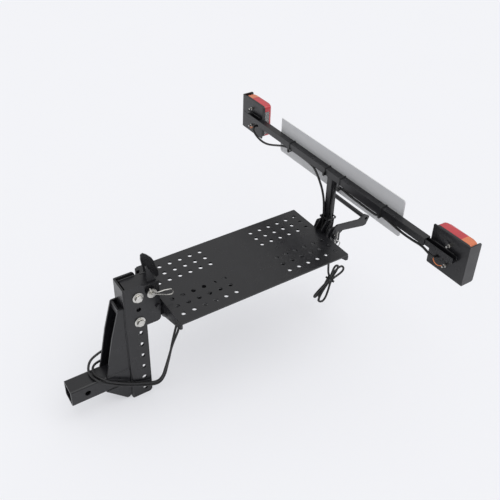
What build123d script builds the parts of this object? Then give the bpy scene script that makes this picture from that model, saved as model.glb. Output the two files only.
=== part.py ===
from build123d import *
import math
import os

# Motorcycle carrier, in millimetres. The origin is the centre of the hitch pin hole, on the hitch tube's axis.
# +X points to the rear of the vehicle, +Y to its left side in the picture and +Z up.

# Hitch tube
TUBE = 50.0
TUBE_WALL = 5.0
TUBE_CORNER = 5.0
TUBE_AHEAD = 44.0
PIN_HOLE_R = 8.0
POST_SETBACK = 118.0

# Post
POST_WIDTH = 60.0
POST_DEPTH = 57.0
POST_WALL = 5.0
POST_RISE = 290.0
POST_DROP = 86.0
POST_CORNER = 10.0
HOLE_LINE = 37.5
HOLE_FIRST = 34.0
HOLE_STEP = 40.0
HOLE_COUNT = 9
HOLE_R = 6.5

# Plates that brace the post on the tube
BRACE_THICK = 5.0
BRACE_REACH = 65.0
BRACE_HEIGHT = 207.0
BRACE_TOP_REACH = 15.0
GUSSET_REACH = 70.0
GUSSET_DROP = 55.0
GUSSET_FOOT = 14.0

# Head bracket and its bolts
BRACKET_WALL = 5.0
BRACKET_GAP = 7.0
BRACKET_LENGTH = 87.0
BRACKET_HEIGHT = 131.0
BRACKET_BELOW_TOP = 9.0
BRACKET_CORNER = 12.0
BOLT_R = 6.0
BOLT_HEAD_AF = 18.0
BOLT_HEAD_H = 7.5
NUT_H = 10.5
BOLT_TAIL = 3.0
WASHER_R = 14.5
WASHER_H = 2.5
SPACER_R = 10.0
SCREW_BACK = 7.0
SCREW_BELOW = 81.0
SCREW_R = 4.0
SCREW_HEAD_AF = 12.0
SCREW_HEAD_H = 5.0

# Hinge of the platform
PIVOT_AHEAD = 25.0
PIVOT_BELOW = 24.5
PIVOT_PIN_R = 6.0
PIN_TAIL = 5.0
PIN_BEND_Y = 48.0
PIN_BEND_RISE = 19.0
PIN_BEND_R = 8.0
PIN_WASHER_R = 13.0
CLIP_WIRE_R = 1.5
CLIP_HOLE_FIT = 0.1
CLIP_Y = -37.0
CLIP_DROP = 28.0
CLIP_LENGTH = 60.0
RUNNING_FIT = 0.05
HUB_R = 13.0
ARM_EYE_R = 17.0
ARM_THICK = 4.7
ARM_SIDE_GAP = 0.3
DECK_BELOW_PIVOT = 42.5
PLATFORM_GAP = 4.0

# Deck, beam and flanges
DECK_LENGTH = 524.0
DECK_WIDTH = 254.0
DECK_THICK = 5.0
FLANGE_SIDE_DROP = 21.0
FLANGE_KNEE_DROP = 47.0
FLANGE_MIDDLE_DROP = 56.0
FLANGE_KNEE_Y = 40.0
GRID_HOLE_R = 6.0
GRID_STEP_X = 31.0
GRID_STEP_Y = 30.0
GRID_COLUMNS = 6
GRID_ROWS = 3
GRID_FIRST_Y = 36.0
GRID_FRONT_EDGE = 24.0
GRID_REAR_EDGE = 22.0
BEAM = 50.0
BEAM_WALL = 3.0

# Rear bracket and its pin
REAR_LENGTH = 50.0
REAR_WALL = 5.0
REAR_TOP = 21.0
REAR_DEPTH = 65.0
REAR_PIN_BACK = 21.0
REAR_PIN_BELOW = 5.0
REAR_PIN_R = 6.0
REAR_CORNER = 12.0
REAR_PIN_OUT = 10.0
REAR_CLIP_DROP = 80.0
REAR_CLIP_LENGTH = 42.0

# Mast and light bar
MAST = 20.0
MAST_WALL = 2.0
MAST_BACK = 5.0
MAST_TOP = 174.0
CHEEK_THICK = 3.0
CHEEK_EYE_R = 14.0
CHEEK_RISE = 40.0
CHEEK_TOE = 28.0
CHEEK_TOE_GAP = 0.3
BUSH_R = 9.0
BAR_HALF = 355.0
PANEL_HALF = 260.0
PANEL_HEIGHT = 110.0
PANEL_THICK = 3.0
PANEL_BELOW = 44.0
PANEL_CORNER = 8.0

# Lamp holders and lamps
HOLDER_FIT = 0.2
HOLDER_WALL = 2.0
HOLDER_REACH = 87.0
HOLDER_INSIDE = 120.0
LAMP_PLATE = 3.0
LAMP_PLATE_GAP = 4.0
LAMP_PLATE_IN = 1.0
LAMP_PLATE_OVER = 3.5
LAMP_FLANGE_GAP = 2.0
LAMP_PLATE_DROP = 61.0
LAMP_FLANGE = 38.0
LAMP_WIDTH = 105.0
LAMP_HEIGHT = 105.0
LAMP_BASE = 8.0
LAMP_LENS = 33.0
LAMP_CORNER = 9.0
LENS_WALL = 2.5
AMBER_WIDTH = 32.0
WINDOW_WIDTH = 16.0
WINDOW_HEIGHT = 78.0
STUD_R = 2.5
STUD_NUT_AF = 8.0
STUD_NUT_H = 4.0
STUD_TAIL = 8.0
STUD_SPACING = 59.0
STUD_BELOW = 1.5
BULB_R = 5.0
BULB_LENGTH = 12.0
LEAD_IN = 28.0
LEAD_BELOW = 21.0
LEAD_BOSS_R = 4.5
LEAD_BOSS_OUT = 3.0

# Rear handle
HANDLE_THICK = 5.0
HANDLE_WIDTH = 25.0
HANDLE_GAP = 1.0
HANDLE_REACH = 119.0
HANDLE_RISE = 20.0
HANDLE_ROD_R = 6.5
HANDLE_ROD_LENGTH = 151.0
HANDLE_EYE_R = 4.5

# Cables, ties and clips
CABLE = 6.5
CABLE_SEAT = 0.3
TIE_WIDTH = 4.8
TIE_THICK = 1.3
TIE_HEAD = 6.5
TIE_SLOT_GAP = 0.4
TIE_PLACES = [(190.0, 8.0), (24.0, 1.0), (-40.0, 16.5), (-203.0, 8.0)]
MAST_TIE_RISE = 47.0
HANK_TIE_GAP = 0.4
SADDLE_HALF = 5.0
SADDLE_WALL = 1.7
SADDLE_FOOT = 1.6
SADDLE_LIFT = 0.1
SADDLE_RISE = 9.1
SADDLE_PLACES = [104.0, 229.0, 349.0, 419.0]
STRAP_HALF = 6.0
STRAP_WALL = 2.3
STRAP_FOOT = 9.0
STRAP_SHARE = 0.55
WIRE_R = 0.8
WIRE_LENGTH = 16.0
WIRE_SPREAD = 12.0
PLUG_R = 18.0
PLUG_LENGTH = 58.0
GLAND_R = 7.0
GLAND_LENGTH = 12.0
PLUG_NECK = 8.0
PLUG_WALL = 3.0
PLUG_DEEP = 14.0

# Places that follow from the sizes
POST_X = POST_SETBACK
POST_REAR = POST_X + POST_DEPTH
HOLE_X = POST_X + HOLE_LINE
HOLE_HEIGHTS = [POST_RISE - HOLE_FIRST - HOLE_STEP * k for k in range(HOLE_COUNT)]
BOLT_HEIGHTS = [HOLE_HEIGHTS[0], HOLE_HEIGHTS[2]]
BRACKET_HALF = POST_WIDTH / 2 - POST_WALL
BRACKET_INNER = BRACKET_HALF - BRACKET_WALL
BRACKET_X0 = POST_X + POST_WALL + BRACKET_GAP
BRACKET_X1 = BRACKET_X0 + BRACKET_LENGTH
BRACKET_Z1 = POST_RISE - BRACKET_BELOW_TOP
BRACKET_Z0 = BRACKET_Z1 - BRACKET_HEIGHT
PIVOT_X = BRACKET_X1 - PIVOT_AHEAD
PIVOT_Z = BRACKET_Z1 - PIVOT_BELOW
SCREW_X = BRACKET_X1 - SCREW_BACK
SCREW_Z = BRACKET_Z1 - SCREW_BELOW
DECK_X0 = BRACKET_X1 + PLATFORM_GAP
DECK_X1 = DECK_X0 + DECK_LENGTH
DECK_Z = PIVOT_Z - DECK_BELOW_PIVOT
BEAM_TOP = DECK_Z - DECK_THICK
BEAM_BOTTOM = BEAM_TOP - BEAM
ARM_OUT = BRACKET_INNER - ARM_SIDE_GAP
ARM_IN = ARM_OUT - ARM_THICK
REAR_X1 = DECK_X1 + REAR_LENGTH
REAR_HALF = BEAM / 2 + REAR_WALL
REAR_PIN_X = DECK_X1 + REAR_PIN_BACK
REAR_PIN_Z = DECK_Z - REAR_PIN_BELOW
MAST_X = REAR_PIN_X + MAST_BACK
BAR_Z0 = DECK_Z + MAST_TOP
BAR_Z1 = BAR_Z0 + MAST
BAR_X0 = MAST_X - MAST / 2
BAR_X1 = MAST_X + MAST / 2
BAR_MID_Z = (BAR_Z0 + BAR_Z1) / 2
PANEL_Z0 = BAR_Z0 - PANEL_BELOW
PANEL_X1 = BAR_X1 + PANEL_THICK
MAST_TIE_Z = DECK_Z + MAST_TIE_RISE
HOLDER = MAST - 2 * MAST_WALL - 2 * HOLDER_FIT
LAMP_PLATE_X = MAST_X + HOLDER / 2
LAMP_BASE_X = LAMP_PLATE_X + LAMP_PLATE
LENS_X = LAMP_BASE_X + LAMP_BASE
LAMP_PLATE_WIDTH = LAMP_PLATE_IN + LAMP_WIDTH + LAMP_FLANGE_GAP + LAMP_PLATE
LAMP_PLATE_HEIGHT = LAMP_HEIGHT + 2 * LAMP_PLATE_OVER
LAMP_PLATE_Z1 = BAR_MID_Z - LAMP_PLATE_DROP + LAMP_PLATE_HEIGHT
LAMP_PLATE_INNER = BAR_HALF + LAMP_PLATE_GAP
LAMP_INNER = LAMP_PLATE_INNER + LAMP_PLATE_IN
LAMP_Z = LAMP_PLATE_Z1 - LAMP_PLATE_HEIGHT / 2
LEAD_Y = LAMP_INNER + LEAD_IN
LEAD_Z = LAMP_Z - LEAD_BELOW
STUD_Y = LAMP_INNER + LAMP_WIDTH * 0.53
STUD_HEIGHTS = [LAMP_Z - STUD_BELOW + STUD_SPACING / 2, LAMP_Z - STUD_BELOW - STUD_SPACING / 2]
HANDLE_Y1 = -REAR_HALF - HANDLE_GAP
HANDLE_Y0 = HANDLE_Y1 - HANDLE_THICK
MAST_PIN_Y0 = HANDLE_Y0 - REAR_PIN_OUT
MAST_PIN_Y1 = REAR_HALF + REAR_PIN_OUT
ROD_X = REAR_PIN_X + HANDLE_REACH
ROD_Z = REAR_PIN_Z + HANDLE_RISE

# Cable routes, chosen along the photographed cables
LEFT_LAMP_ROUTE = [
    (775.8, 388, 372), (765, 388, 372), (760.5, 378, 359.5), (763.5, 356, 346), (767, 330, 341),
    (768, 300, 347.5), (768.5, 262, 363.5), (769, 228, 378), (769.5, 196, 383.8), (769.5, 150, 384.3),
    (768.5, 104, 383.8), (763.5, 74, 384.4), (757.4, 53, 379.5), (757.2, 36, 361), (757.3, 20, 337),
    (757.3, 9.5, 306), (757.4, 5.5, 262), (756.8, 5, 236), (753.5, 5, 220), (753.5, 5, 209)]
RIGHT_LAMP_ROUTE = [
    (775.8, -388, 372), (765, -388, 372), (763.8, -373, 375.5), (766.5, -348, 380.5), (767, -316, 376.5),
    (767, -277, 375.5), (766.5, -238, 381), (766, -203, 384.2), (765, -150, 384.2), (765.2, -108, 384.4),
    (765, -78, 384.3), (765, -55, 384.2), (777.4, -55, 383), (777.4, -78, 382.2), (777.0, -118, 381.4),
    (777.2, -163, 379.8), (777.3, -190, 379), (764.8, -190, 374.6), (764.7, -166, 374.1), (765, -130, 374.2),
    (764.6, -94, 374.8), (765.2, -63, 376), (766.5, -37, 377), (770.5, -22, 366), (769.5, -14.2, 348),
    (766.5, -13.8, 322), (764.6, -13.8, 292), (766.2, -15.2, 266), (768, -17.4, 249), (760, -17.4, 232),
    (753.5, -17, 220), (753.5, -17, 209)]
UNDER_DECK_ROUTE = [
    (753.5, 5, 209), (753.5, 5, 188), (753.8, 4, 163), (748, -3, 147), (732, -14, 143.5), (711, -25, 146.5),
    (690, -30, 157), (660, -28.8, 168.2), (600, -29, 168), (540, -28.8, 168.2), (480, -29, 168),
    (420, -28.8, 168.2), (366, -29, 168), (322, -28.8, 168.4), (292, -30, 168.5), (272, -33.5, 167),
    (258, -38.2, 160), (253, -40, 148), (253, -40, 140)]
PLUG_LEAD_ROUTE = [(290, -52, 185), (274, -52, 185), (262, -51, 174), (256.5, -48, 158), (256.5, -48, 140)]
FRONT_ROUTE = [
    (253, -40, 140), (253, -40, 128.5), (246, -41.6, 108), (235, -45, 76), (225, -48, 40), (216.5, -46, 2),
    (208.5, -43.4, -36), (193, -40, -61), (166, -36, -57), (124, -34.8, -36), (80, -33.4, -10.5), (54, -32.2, 9.5),
    (36, -30.6, 23), (24, -18, 31.4), (19, 0, 29.2), (21, 21, 31.4), (33, 35, 45), (58, 39, 54), (90, 42, 59),
    (113, 46, 56.5), (127, 49, 41), (115, 47, 25.5), (92, 42, 23.5), (64, 38, 27.4), (42, 33, 27.8),
    (31.4, 17, 29.2), (29.4, -3, 29.2), (37, -21.4, 31.4), (53, -32.6, 20.6), (72, -34.6, 7.2),
    (98, -35.6, -10.6), (134, -36.2, -32), (168, -38, -46.4), (187, -42, -48.6), (199.5, -47.6, -32),
    (208.6, -51.6, 4), (219.5, -55.4, 46), (231.5, -55.6, 84), (248, -51, 107), (256.5, -48, 127),
    (256.5, -48, 140)]

# Hank behind the deck: where its waist is, how its strands lie and how long its loops are
HANK_CENTRE = (775.0, -30.0, 42.0)
HANK_STEP = 7.3
HANK_HALF_WAIST = 7.0
HANK_AXIS = 52.0
HANK_LOBES = [(222.0, 73.0, 21.0), (66.0, 52.0, 17.0), (248.0, 82.0, 28.0), (27.0, 57.0, 18.0)]
HANK_STARTS = [-1, -1, 1, 1]
HANK_ENTRY = [(753.5, -17, 209), (753.5, -17, 188), (756, -19.5, 165), (762.5, -24, 142), (766.5, -26, 116),
              (768.5, -26.2, 90), (770.3, -26.2, 66)]
HANK_TAIL = [(-4, 27, 8.5), (2, 50, 10), (-1, 72, 10.5)]


def block(x0, x1, y0, y1, z0, z1):
    """Box between opposite faces."""
    return Pos((x0 + x1) / 2, (y0 + y1) / 2, (z0 + z1) / 2) * Box(x1 - x0, y1 - y0, z1 - z0)


def bar_y(x, z, radius, y0, y1):
    """Round bar along Y."""
    return Pos(x, (y0 + y1) / 2, z) * Rot(90, 0, 0) * Cylinder(radius, y1 - y0)


def bar_x(y, z, radius, x0, x1):
    """Round bar along X."""
    return Pos((x0 + x1) / 2, y, z) * Rot(0, 90, 0) * Cylinder(radius, x1 - x0)


def outline(points):
    """Closed flat outline. A point's third number is its corner radius."""
    shape = Polygon(*[point[:2] for point in points], align=None)
    for point in points:
        if len(point) == 3:
            corner = shape.vertices().sort_by_distance((point[0], point[1], 0))[0]
            shape = fillet(corner, point[2])
    return shape


def side_plate(points, y0, y1):
    """Plate whose outline lies in XZ."""
    return extrude(Pos(0, y1, 0) * (Plane.XZ * outline(points)), y1 - y0, dir=(0, -1, 0))


def end_plate(points, x0, x1):
    """Plate whose outline lies in YZ."""
    return extrude(Pos(x0, 0, 0) * (Plane.YZ * outline(points)), x1 - x0, dir=(1, 0, 0))


def hexagon_y(x, z, across, y0, y1):
    """Hexagonal head or nut along Y."""
    flat = RegularPolygon(across / 2, 6, major_radius=False)
    return extrude(Pos(x, y1, z) * (Plane.XZ * flat), y1 - y0)


def corner_radii(points):
    """Arc at each corner: 0.45 of the shorter run over the tangent of half the turn."""
    radii = []
    for before, corner, after in zip(points, points[1:], points[2:]):
        run_in = Vector(*corner) - Vector(*before)
        run_out = Vector(*after) - Vector(*corner)
        half_turn = math.radians(run_in.get_angle(run_out)) / 2
        radii.append(0.45 * min(run_in.length, run_out.length) / math.tan(half_turn))
    return radii


def least_gap(path, diameter, steps=360):
    """Least clear distance between stretches of a path that lie over five diameters apart along it."""
    places = [tuple(path @ (i / steps)) for i in range(steps + 1)]
    apart = math.ceil(5 * diameter / (path.length / steps))
    pairs = ((a, b) for a in range(steps + 1) for b in range(a + apart, steps + 1))
    return min((math.dist(places[a], places[b]) for a, b in pairs), default=0) - diameter


def cord(name, points, diameter=CABLE):
    """Round cable along straight runs joined by tangent arcs."""
    radii = corner_radii(points)
    path = FilletPolyline(*points, radius=radii)
    section = Plane(origin=path @ 0, z_dir=path % 0) * Circle(diameter / 2)
    tube = sweep(section, path=path)
    ratio = tube.volume / (math.pi * diameter ** 2 / 4 * path.length)
    print(f"{name}: {path.length:.0f} mm long, volume ratio {ratio:.4f}, "
          f"radii {min(radii):.0f} to {max(radii):.0f}, least gap {least_gap(path, diameter):.1f}")
    return tube


def hitch_tube():
    """Square tube that slides into the receiver, with the hitch pin hole across it."""
    outer = extrude(Plane.YZ * RectangleRounded(TUBE, TUBE, TUBE_CORNER), TUBE_AHEAD + POST_X)
    hollow = TUBE - 2 * TUBE_WALL
    inner_corner = max(TUBE_CORNER - TUBE_WALL, 1.0)
    inner = extrude(Plane.YZ * RectangleRounded(hollow, hollow, inner_corner), TUBE_AHEAD + POST_X)
    return Pos(-TUBE_AHEAD, 0, 0) * (outer - inner) - bar_y(0, 0, PIN_HOLE_R, -TUBE, TUBE)


def post():
    """Folded channel, open to the rear, with a row of height holes through both flanges."""
    half = POST_WIDTH / 2
    channel = block(POST_X, POST_REAR, -half, half, -POST_DROP, POST_RISE)
    channel -= block(POST_X + POST_WALL, POST_REAR, -half + POST_WALL, half - POST_WALL, -POST_DROP, POST_RISE)
    sharp = channel.edges().filter_by(Axis.Y).filter_by_position(Axis.X, POST_REAR - 0.1, POST_REAR + 0.1)
    channel = fillet(sharp, POST_CORNER)
    folds = channel.edges().filter_by(Axis.Z).filter_by_position(Axis.X, POST_X - 0.1, POST_X + 0.1)
    channel = fillet(folds, POST_WALL * 0.8)
    for height in HOLE_HEIGHTS:
        channel -= bar_y(HOLE_X, height, HOLE_R, -POST_WIDTH, POST_WIDTH)
    return channel


def brace_plate(side):
    """Tall tapering plate from the tube's top to the post."""
    foot = POST_X - BRACE_REACH
    top = TUBE / 2 + BRACE_HEIGHT
    points = [(foot, TUBE / 2), (POST_X, TUBE / 2), (POST_X, top), (POST_X - BRACE_TOP_REACH, top, 6),
              (foot + BRACE_REACH * 0.415, TUBE / 2 + BRACE_HEIGHT * 0.594, 20),
              (foot + 3, TUBE / 2 + 9, 4)]
    outer = side * TUBE / 2
    inner = side * (TUBE / 2 - BRACE_THICK)
    return side_plate(points, min(outer, inner), max(outer, inner))


def brace_cap():
    """Narrow strip that ties the tops of the brace plates."""
    top = TUBE / 2 + BRACE_HEIGHT
    half = TUBE / 2 - BRACE_THICK
    front = POST_X - BRACE_TOP_REACH
    return block(front + 1, front + 1 + BRACE_THICK, -half, half, top - 22, top - 2)


def lower_gusset(side):
    """Plate under the tube that holds the post's lower end."""
    start = POST_X - GUSSET_REACH
    low = -TUBE / 2 - GUSSET_DROP
    points = [(start, -TUBE / 2), (POST_X - GUSSET_FOOT, low), (POST_X - 7, low), (POST_X - 5, low + 4),
              (POST_X, low + 4), (POST_X, -TUBE / 2)]
    outer = side * TUBE / 2
    inner = side * (TUBE / 2 - BRACE_THICK)
    return side_plate(points, min(outer, inner), max(outer, inner))


def head_bracket():
    """Inverted channel inside the post, with bores for two bolts and the hinge pin."""
    body = block(BRACKET_X0, BRACKET_X1, -BRACKET_HALF, BRACKET_HALF, BRACKET_Z0, BRACKET_Z1)
    body -= block(BRACKET_X0, BRACKET_X1, -BRACKET_INNER, BRACKET_INNER, BRACKET_Z0, BRACKET_Z1 - BRACKET_WALL)
    low = body.edges().filter_by(Axis.Y).filter_by_position(Axis.Z, BRACKET_Z0 - 0.1, BRACKET_Z0 + 0.1)
    body = fillet(low.filter_by_position(Axis.X, BRACKET_X1 - 0.1, BRACKET_X1 + 0.1), BRACKET_CORNER)
    for height in HOLE_HEIGHTS[:3]:
        body -= bar_y(HOLE_X, height, HOLE_R, -POST_WIDTH, POST_WIDTH)
    body -= bar_y(PIVOT_X, PIVOT_Z, PIVOT_PIN_R + RUNNING_FIT, -POST_WIDTH, POST_WIDTH)
    return body - bar_y(SCREW_X, SCREW_Z, SCREW_R + RUNNING_FIT, -POST_WIDTH, 0)


def stop_fin():
    """Upright plate that the folded platform's front edge comes up to."""
    x, z = BRACKET_X1, BRACKET_Z1
    reach = PIVOT_X + 46
    points = [(x - 19, z), (x - 25, z + 42), (x - 24, z + 56, 5), (x - 17, z + 59), (x - 7, z + 51),
              (x + 5, z + 37), (x + 10, z + 26), (x + 14, z + 7), (reach, z - 12), (reach, z - 26, 3),
              (x + 6, z - 32), (x, z - 32), (x, z)]
    return side_plate(points, BRACKET_INNER, BRACKET_HALF)


def stop_rib():
    """Small triangle that stiffens the top of the head bracket."""
    x, z = BRACKET_X1, BRACKET_Z1
    points = [(x - 30, z), (x - 5, z), (x - 27, z + 50), (x - 30, z + 50)]
    return side_plate(points, -BRACKET_INNER, -BRACKET_INNER + BRACKET_WALL)


def clamp_screw():
    """Short hexagonal screw low in the bracket's right wall."""
    head = hexagon_y(SCREW_X, SCREW_Z, SCREW_HEAD_AF, -BRACKET_HALF - SCREW_HEAD_H, -BRACKET_HALF)
    return head + bar_y(SCREW_X, SCREW_Z, SCREW_R, -BRACKET_HALF, -BRACKET_INNER)


def height_bolts():
    """Hexagonal bolts through the post and the head bracket."""
    face = POST_WIDTH / 2 + WASHER_H
    bolts = []
    for height in BOLT_HEIGHTS:
        shank = bar_y(HOLE_X, height, BOLT_R, -face, face + NUT_H + BOLT_TAIL)
        bolts.append(shank + hexagon_y(HOLE_X, height, BOLT_HEAD_AF, -face - BOLT_HEAD_H, -face))
    return bolts


def height_washers():
    """Large washers under the heads and the nuts."""
    face = POST_WIDTH / 2
    rings = []
    for height in BOLT_HEIGHTS:
        for y0 in (-face - WASHER_H, face):
            ring = bar_y(HOLE_X, height, WASHER_R, y0, y0 + WASHER_H)
            rings.append(ring - bar_y(HOLE_X, height, HOLE_R, y0 - 1, y0 + WASHER_H + 1))
    return rings


def height_nuts():
    """Nuts on the far side of the post."""
    face = POST_WIDTH / 2 + WASHER_H
    nuts = []
    for height in BOLT_HEIGHTS:
        nut = hexagon_y(HOLE_X, height, BOLT_HEAD_AF, face, face + NUT_H)
        nuts.append(nut - bar_y(HOLE_X, height, BOLT_R + RUNNING_FIT, face - 1, face + NUT_H + 1))
    return nuts


def bolt_spacers():
    """Tubes on the height bolts that keep the bracket's walls apart."""
    tubes = []
    for height in BOLT_HEIGHTS:
        tube = bar_y(HOLE_X, height, SPACER_R, -BRACKET_INNER, BRACKET_INNER)
        tubes.append(tube - bar_y(HOLE_X, height, BOLT_R + RUNNING_FIT, -BRACKET_HALF, BRACKET_HALF))
    return tubes


def cross_hole(x, z, drop, y):
    """Hole across a pin for the straight leg of its spring clip, sloping down by an angle."""
    hole = Rot(0, 90 + drop, 0) * Cylinder(CLIP_WIRE_R + CLIP_HOLE_FIT, 40)
    return Pos(x, y, z) * hole


def hinge_pin():
    """Pin with its far end bent up."""
    path = FilletPolyline((PIVOT_X, CLIP_Y - PIN_TAIL, PIVOT_Z), (PIVOT_X, PIN_BEND_Y, PIVOT_Z),
                          (PIVOT_X, PIN_BEND_Y, PIVOT_Z + PIN_BEND_RISE), radius=PIN_BEND_R)
    section = Plane(origin=path @ 0, z_dir=path % 0) * Circle(PIVOT_PIN_R)
    return sweep(section, path=path) - cross_hole(PIVOT_X, PIVOT_Z, CLIP_DROP, CLIP_Y)


def hinge_washer():
    """Washer on the hinge pin, behind its spring clip."""
    y0 = CLIP_Y + CLIP_WIRE_R + CLIP_HOLE_FIT
    y1 = y0 + WASHER_H
    washer = bar_y(PIVOT_X, PIVOT_Z, PIN_WASHER_R, y0, y1)
    return washer - bar_y(PIVOT_X, PIVOT_Z, PIVOT_PIN_R + RUNNING_FIT, y0 - 1, y1 + 1)


def spring_clip(x, y, z, drop, pin_radius, length):
    """Spring clip with a straight leg through the pin and a bowed leg round it, pointing down by an angle."""
    over = pin_radius + CLIP_WIRE_R + 1.3
    points = [(-pin_radius - 4, 0), (length - 15, 0), (length - 2, 3), (length, 12), (length - 11, 18),
              (length * 0.5, 13), (pin_radius + 8, over - 3.6), (pin_radius - 1, over), (-pin_radius, over),
              (-pin_radius - 8, over + 5)]
    path = FilletPolyline(*[(u, 0, v) for u, v in points], radius=3.2)
    section = Plane(origin=path @ 0, z_dir=path % 0) * Circle(CLIP_WIRE_R)
    return Pos(x, y, z) * Rot(0, drop, 0) * sweep(section, path=path)


def deck_flange(x0):
    """Trapezoid flange under one end of the deck, deepest at the beam."""
    half = DECK_WIDTH / 2
    top = BEAM_TOP
    points = [(-half, top), (-half, DECK_Z - FLANGE_SIDE_DROP, 6), (-FLANGE_KNEE_Y, DECK_Z - FLANGE_KNEE_DROP),
              (-BEAM / 2, DECK_Z - FLANGE_MIDDLE_DROP), (BEAM / 2, DECK_Z - FLANGE_MIDDLE_DROP),
              (FLANGE_KNEE_Y, DECK_Z - FLANGE_KNEE_DROP), (half, DECK_Z - FLANGE_SIDE_DROP, 6), (half, top)]
    return end_plate(points, x0, x0 + DECK_THICK)


def grid_columns():
    """Places along X of the deck's hole columns, in a front and a rear group."""
    front = [DECK_X0 + GRID_FRONT_EDGE + GRID_STEP_X * i for i in range(GRID_COLUMNS)]
    rear = [DECK_X1 - GRID_REAR_EDGE - GRID_STEP_X * i for i in range(GRID_COLUMNS)]
    return front + rear


def deck_plate():
    """Holed plate with a flange folded down at each end."""
    half = DECK_WIDTH / 2
    deck = block(DECK_X0, DECK_X1, -half, half, BEAM_TOP, DECK_Z)
    upright = deck.edges().filter_by(Axis.Z)
    deck = fillet(upright, 3)
    rows = [side * (GRID_FIRST_Y + GRID_STEP_Y * i) for i in range(GRID_ROWS) for side in (-1, 1)]
    spots = [(x, y, BEAM_TOP + DECK_THICK / 2) for x in grid_columns() for y in rows]
    deck -= Locations(*spots) * Cylinder(GRID_HOLE_R, DECK_THICK * 2)
    return deck + deck_flange(DECK_X0) + deck_flange(DECK_X1 - DECK_THICK)


def center_beam():
    """Square tube along the middle of the deck."""
    half = BEAM / 2
    x0, x1 = DECK_X0 + DECK_THICK, DECK_X1 - DECK_THICK
    tube = block(x0, x1, -half, half, BEAM_BOTTOM, BEAM_TOP)
    return tube - block(x0, x1, -half + BEAM_WALL, half - BEAM_WALL, BEAM_BOTTOM + BEAM_WALL, BEAM_TOP - BEAM_WALL)


def hinge_arm(side):
    """Arm from the hinge hub down to the front flange, with a heel that rests on the lower bolt's spacer."""
    eye = ARM_EYE_R
    heel = HOLE_X + SPACER_R + 0.2
    heel_z = BOLT_HEIGHTS[1]
    neck_z = PIVOT_Z - DECK_BELOW_PIVOT - 2.5
    points = [(PIVOT_X - eye, PIVOT_Z), (PIVOT_X - eye, heel_z + 32), (heel, heel_z + 14), (heel, heel_z - 12),
              (DECK_X0, BEAM_BOTTOM), (DECK_X0, neck_z), (PIVOT_X + eye, neck_z + 6), (PIVOT_X + eye, PIVOT_Z)]
    outer, inner = side * ARM_OUT, side * ARM_IN
    y0, y1 = min(outer, inner), max(outer, inner)
    arm = side_plate(points, y0, y1) + bar_y(PIVOT_X, PIVOT_Z, eye, y0, y1)
    return arm - bar_y(PIVOT_X, PIVOT_Z, PIVOT_PIN_R + RUNNING_FIT, y0 - 1, y1 + 1)


def hinge_hub():
    """Tube on the hinge pin between the arms."""
    hub = bar_y(PIVOT_X, PIVOT_Z, HUB_R, -ARM_IN, ARM_IN)
    return hub - bar_y(PIVOT_X, PIVOT_Z, PIVOT_PIN_R + RUNNING_FIT, -ARM_OUT, ARM_OUT)


def rear_bracket():
    """Channel behind the deck that carries the mast and the handle."""
    z0 = DECK_Z + REAR_TOP - REAR_DEPTH
    body = block(DECK_X1, DECK_X1 + REAR_WALL, -REAR_HALF, REAR_HALF, z0, DECK_Z)
    rear = REAR_CORNER
    points = [(DECK_X1, z0), (REAR_X1, z0, rear), (REAR_X1, DECK_Z + REAR_TOP, rear),
              (DECK_X1 + 8, DECK_Z + REAR_TOP, 6), (DECK_X1, DECK_Z)]
    for side in (-1, 1):
        outer, inner = side * REAR_HALF, side * (REAR_HALF - REAR_WALL)
        body += side_plate(points, min(outer, inner), max(outer, inner))
    return body - bar_y(REAR_PIN_X, REAR_PIN_Z, REAR_PIN_R + RUNNING_FIT, -POST_WIDTH, POST_WIDTH)


def mast_pin():
    """Long pin through the rear bracket, the mast's foot and the handle, cross-drilled at both ends."""
    pin = bar_y(REAR_PIN_X, REAR_PIN_Z, REAR_PIN_R, MAST_PIN_Y0, MAST_PIN_Y1)
    pin = chamfer(pin.edges().filter_by(GeomType.CIRCLE), 1.2)
    for y in (MAST_PIN_Y0 + PIN_TAIL, MAST_PIN_Y1 - PIN_TAIL):
        pin -= cross_hole(REAR_PIN_X, REAR_PIN_Z, REAR_CLIP_DROP, y)
    return pin


def mast_tube():
    """Square tube of the mast, seated on the pivot bush."""
    half = MAST / 2
    z0 = REAR_PIN_Z
    tube = block(BAR_X0, BAR_X1, -half, half, z0, BAR_Z0)
    inner = half - MAST_WALL
    tube -= block(MAST_X - inner, MAST_X + inner, -inner, inner, z0, BAR_Z0)
    return tube - bar_y(REAR_PIN_X, REAR_PIN_Z, BUSH_R, -MAST, MAST) - block(
        BAR_X0, BAR_X1, -half, half, z0, REAR_PIN_Z + BUSH_R * 0.6)


def foot_cheek(side):
    """Plate beside the mast's foot, with an eye on the pin and a toe that rests on the deck."""
    toe = MAST_X - MAST / 2 - CHEEK_TOE + 5
    base = DECK_Z + CHEEK_TOE_GAP
    points = [(REAR_PIN_X - CHEEK_EYE_R, REAR_PIN_Z), (REAR_PIN_X - CHEEK_EYE_R, base), (toe, base),
              (toe, base + 11, 2), (BAR_X0 - 5, DECK_Z + CHEEK_RISE, 3), (BAR_X1 + 2, DECK_Z + CHEEK_RISE, 3),
              (REAR_PIN_X + CHEEK_EYE_R, REAR_PIN_Z)]
    outer, inner = side * (MAST / 2 + CHEEK_THICK), side * MAST / 2
    y0, y1 = min(outer, inner), max(outer, inner)
    cheek = side_plate(points, y0, y1) + bar_y(REAR_PIN_X, REAR_PIN_Z, CHEEK_EYE_R, y0, y1)
    return cheek - bar_y(REAR_PIN_X, REAR_PIN_Z, BUSH_R, y0 - 1, y1 + 1)


def mast_bush():
    """Tube on the pin between the rear bracket's walls."""
    reach = REAR_HALF - REAR_WALL - ARM_SIDE_GAP
    bush = bar_y(REAR_PIN_X, REAR_PIN_Z, BUSH_R, -reach, reach)
    return bush - bar_y(REAR_PIN_X, REAR_PIN_Z, REAR_PIN_R + RUNNING_FIT, -REAR_HALF, REAR_HALF)


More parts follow.
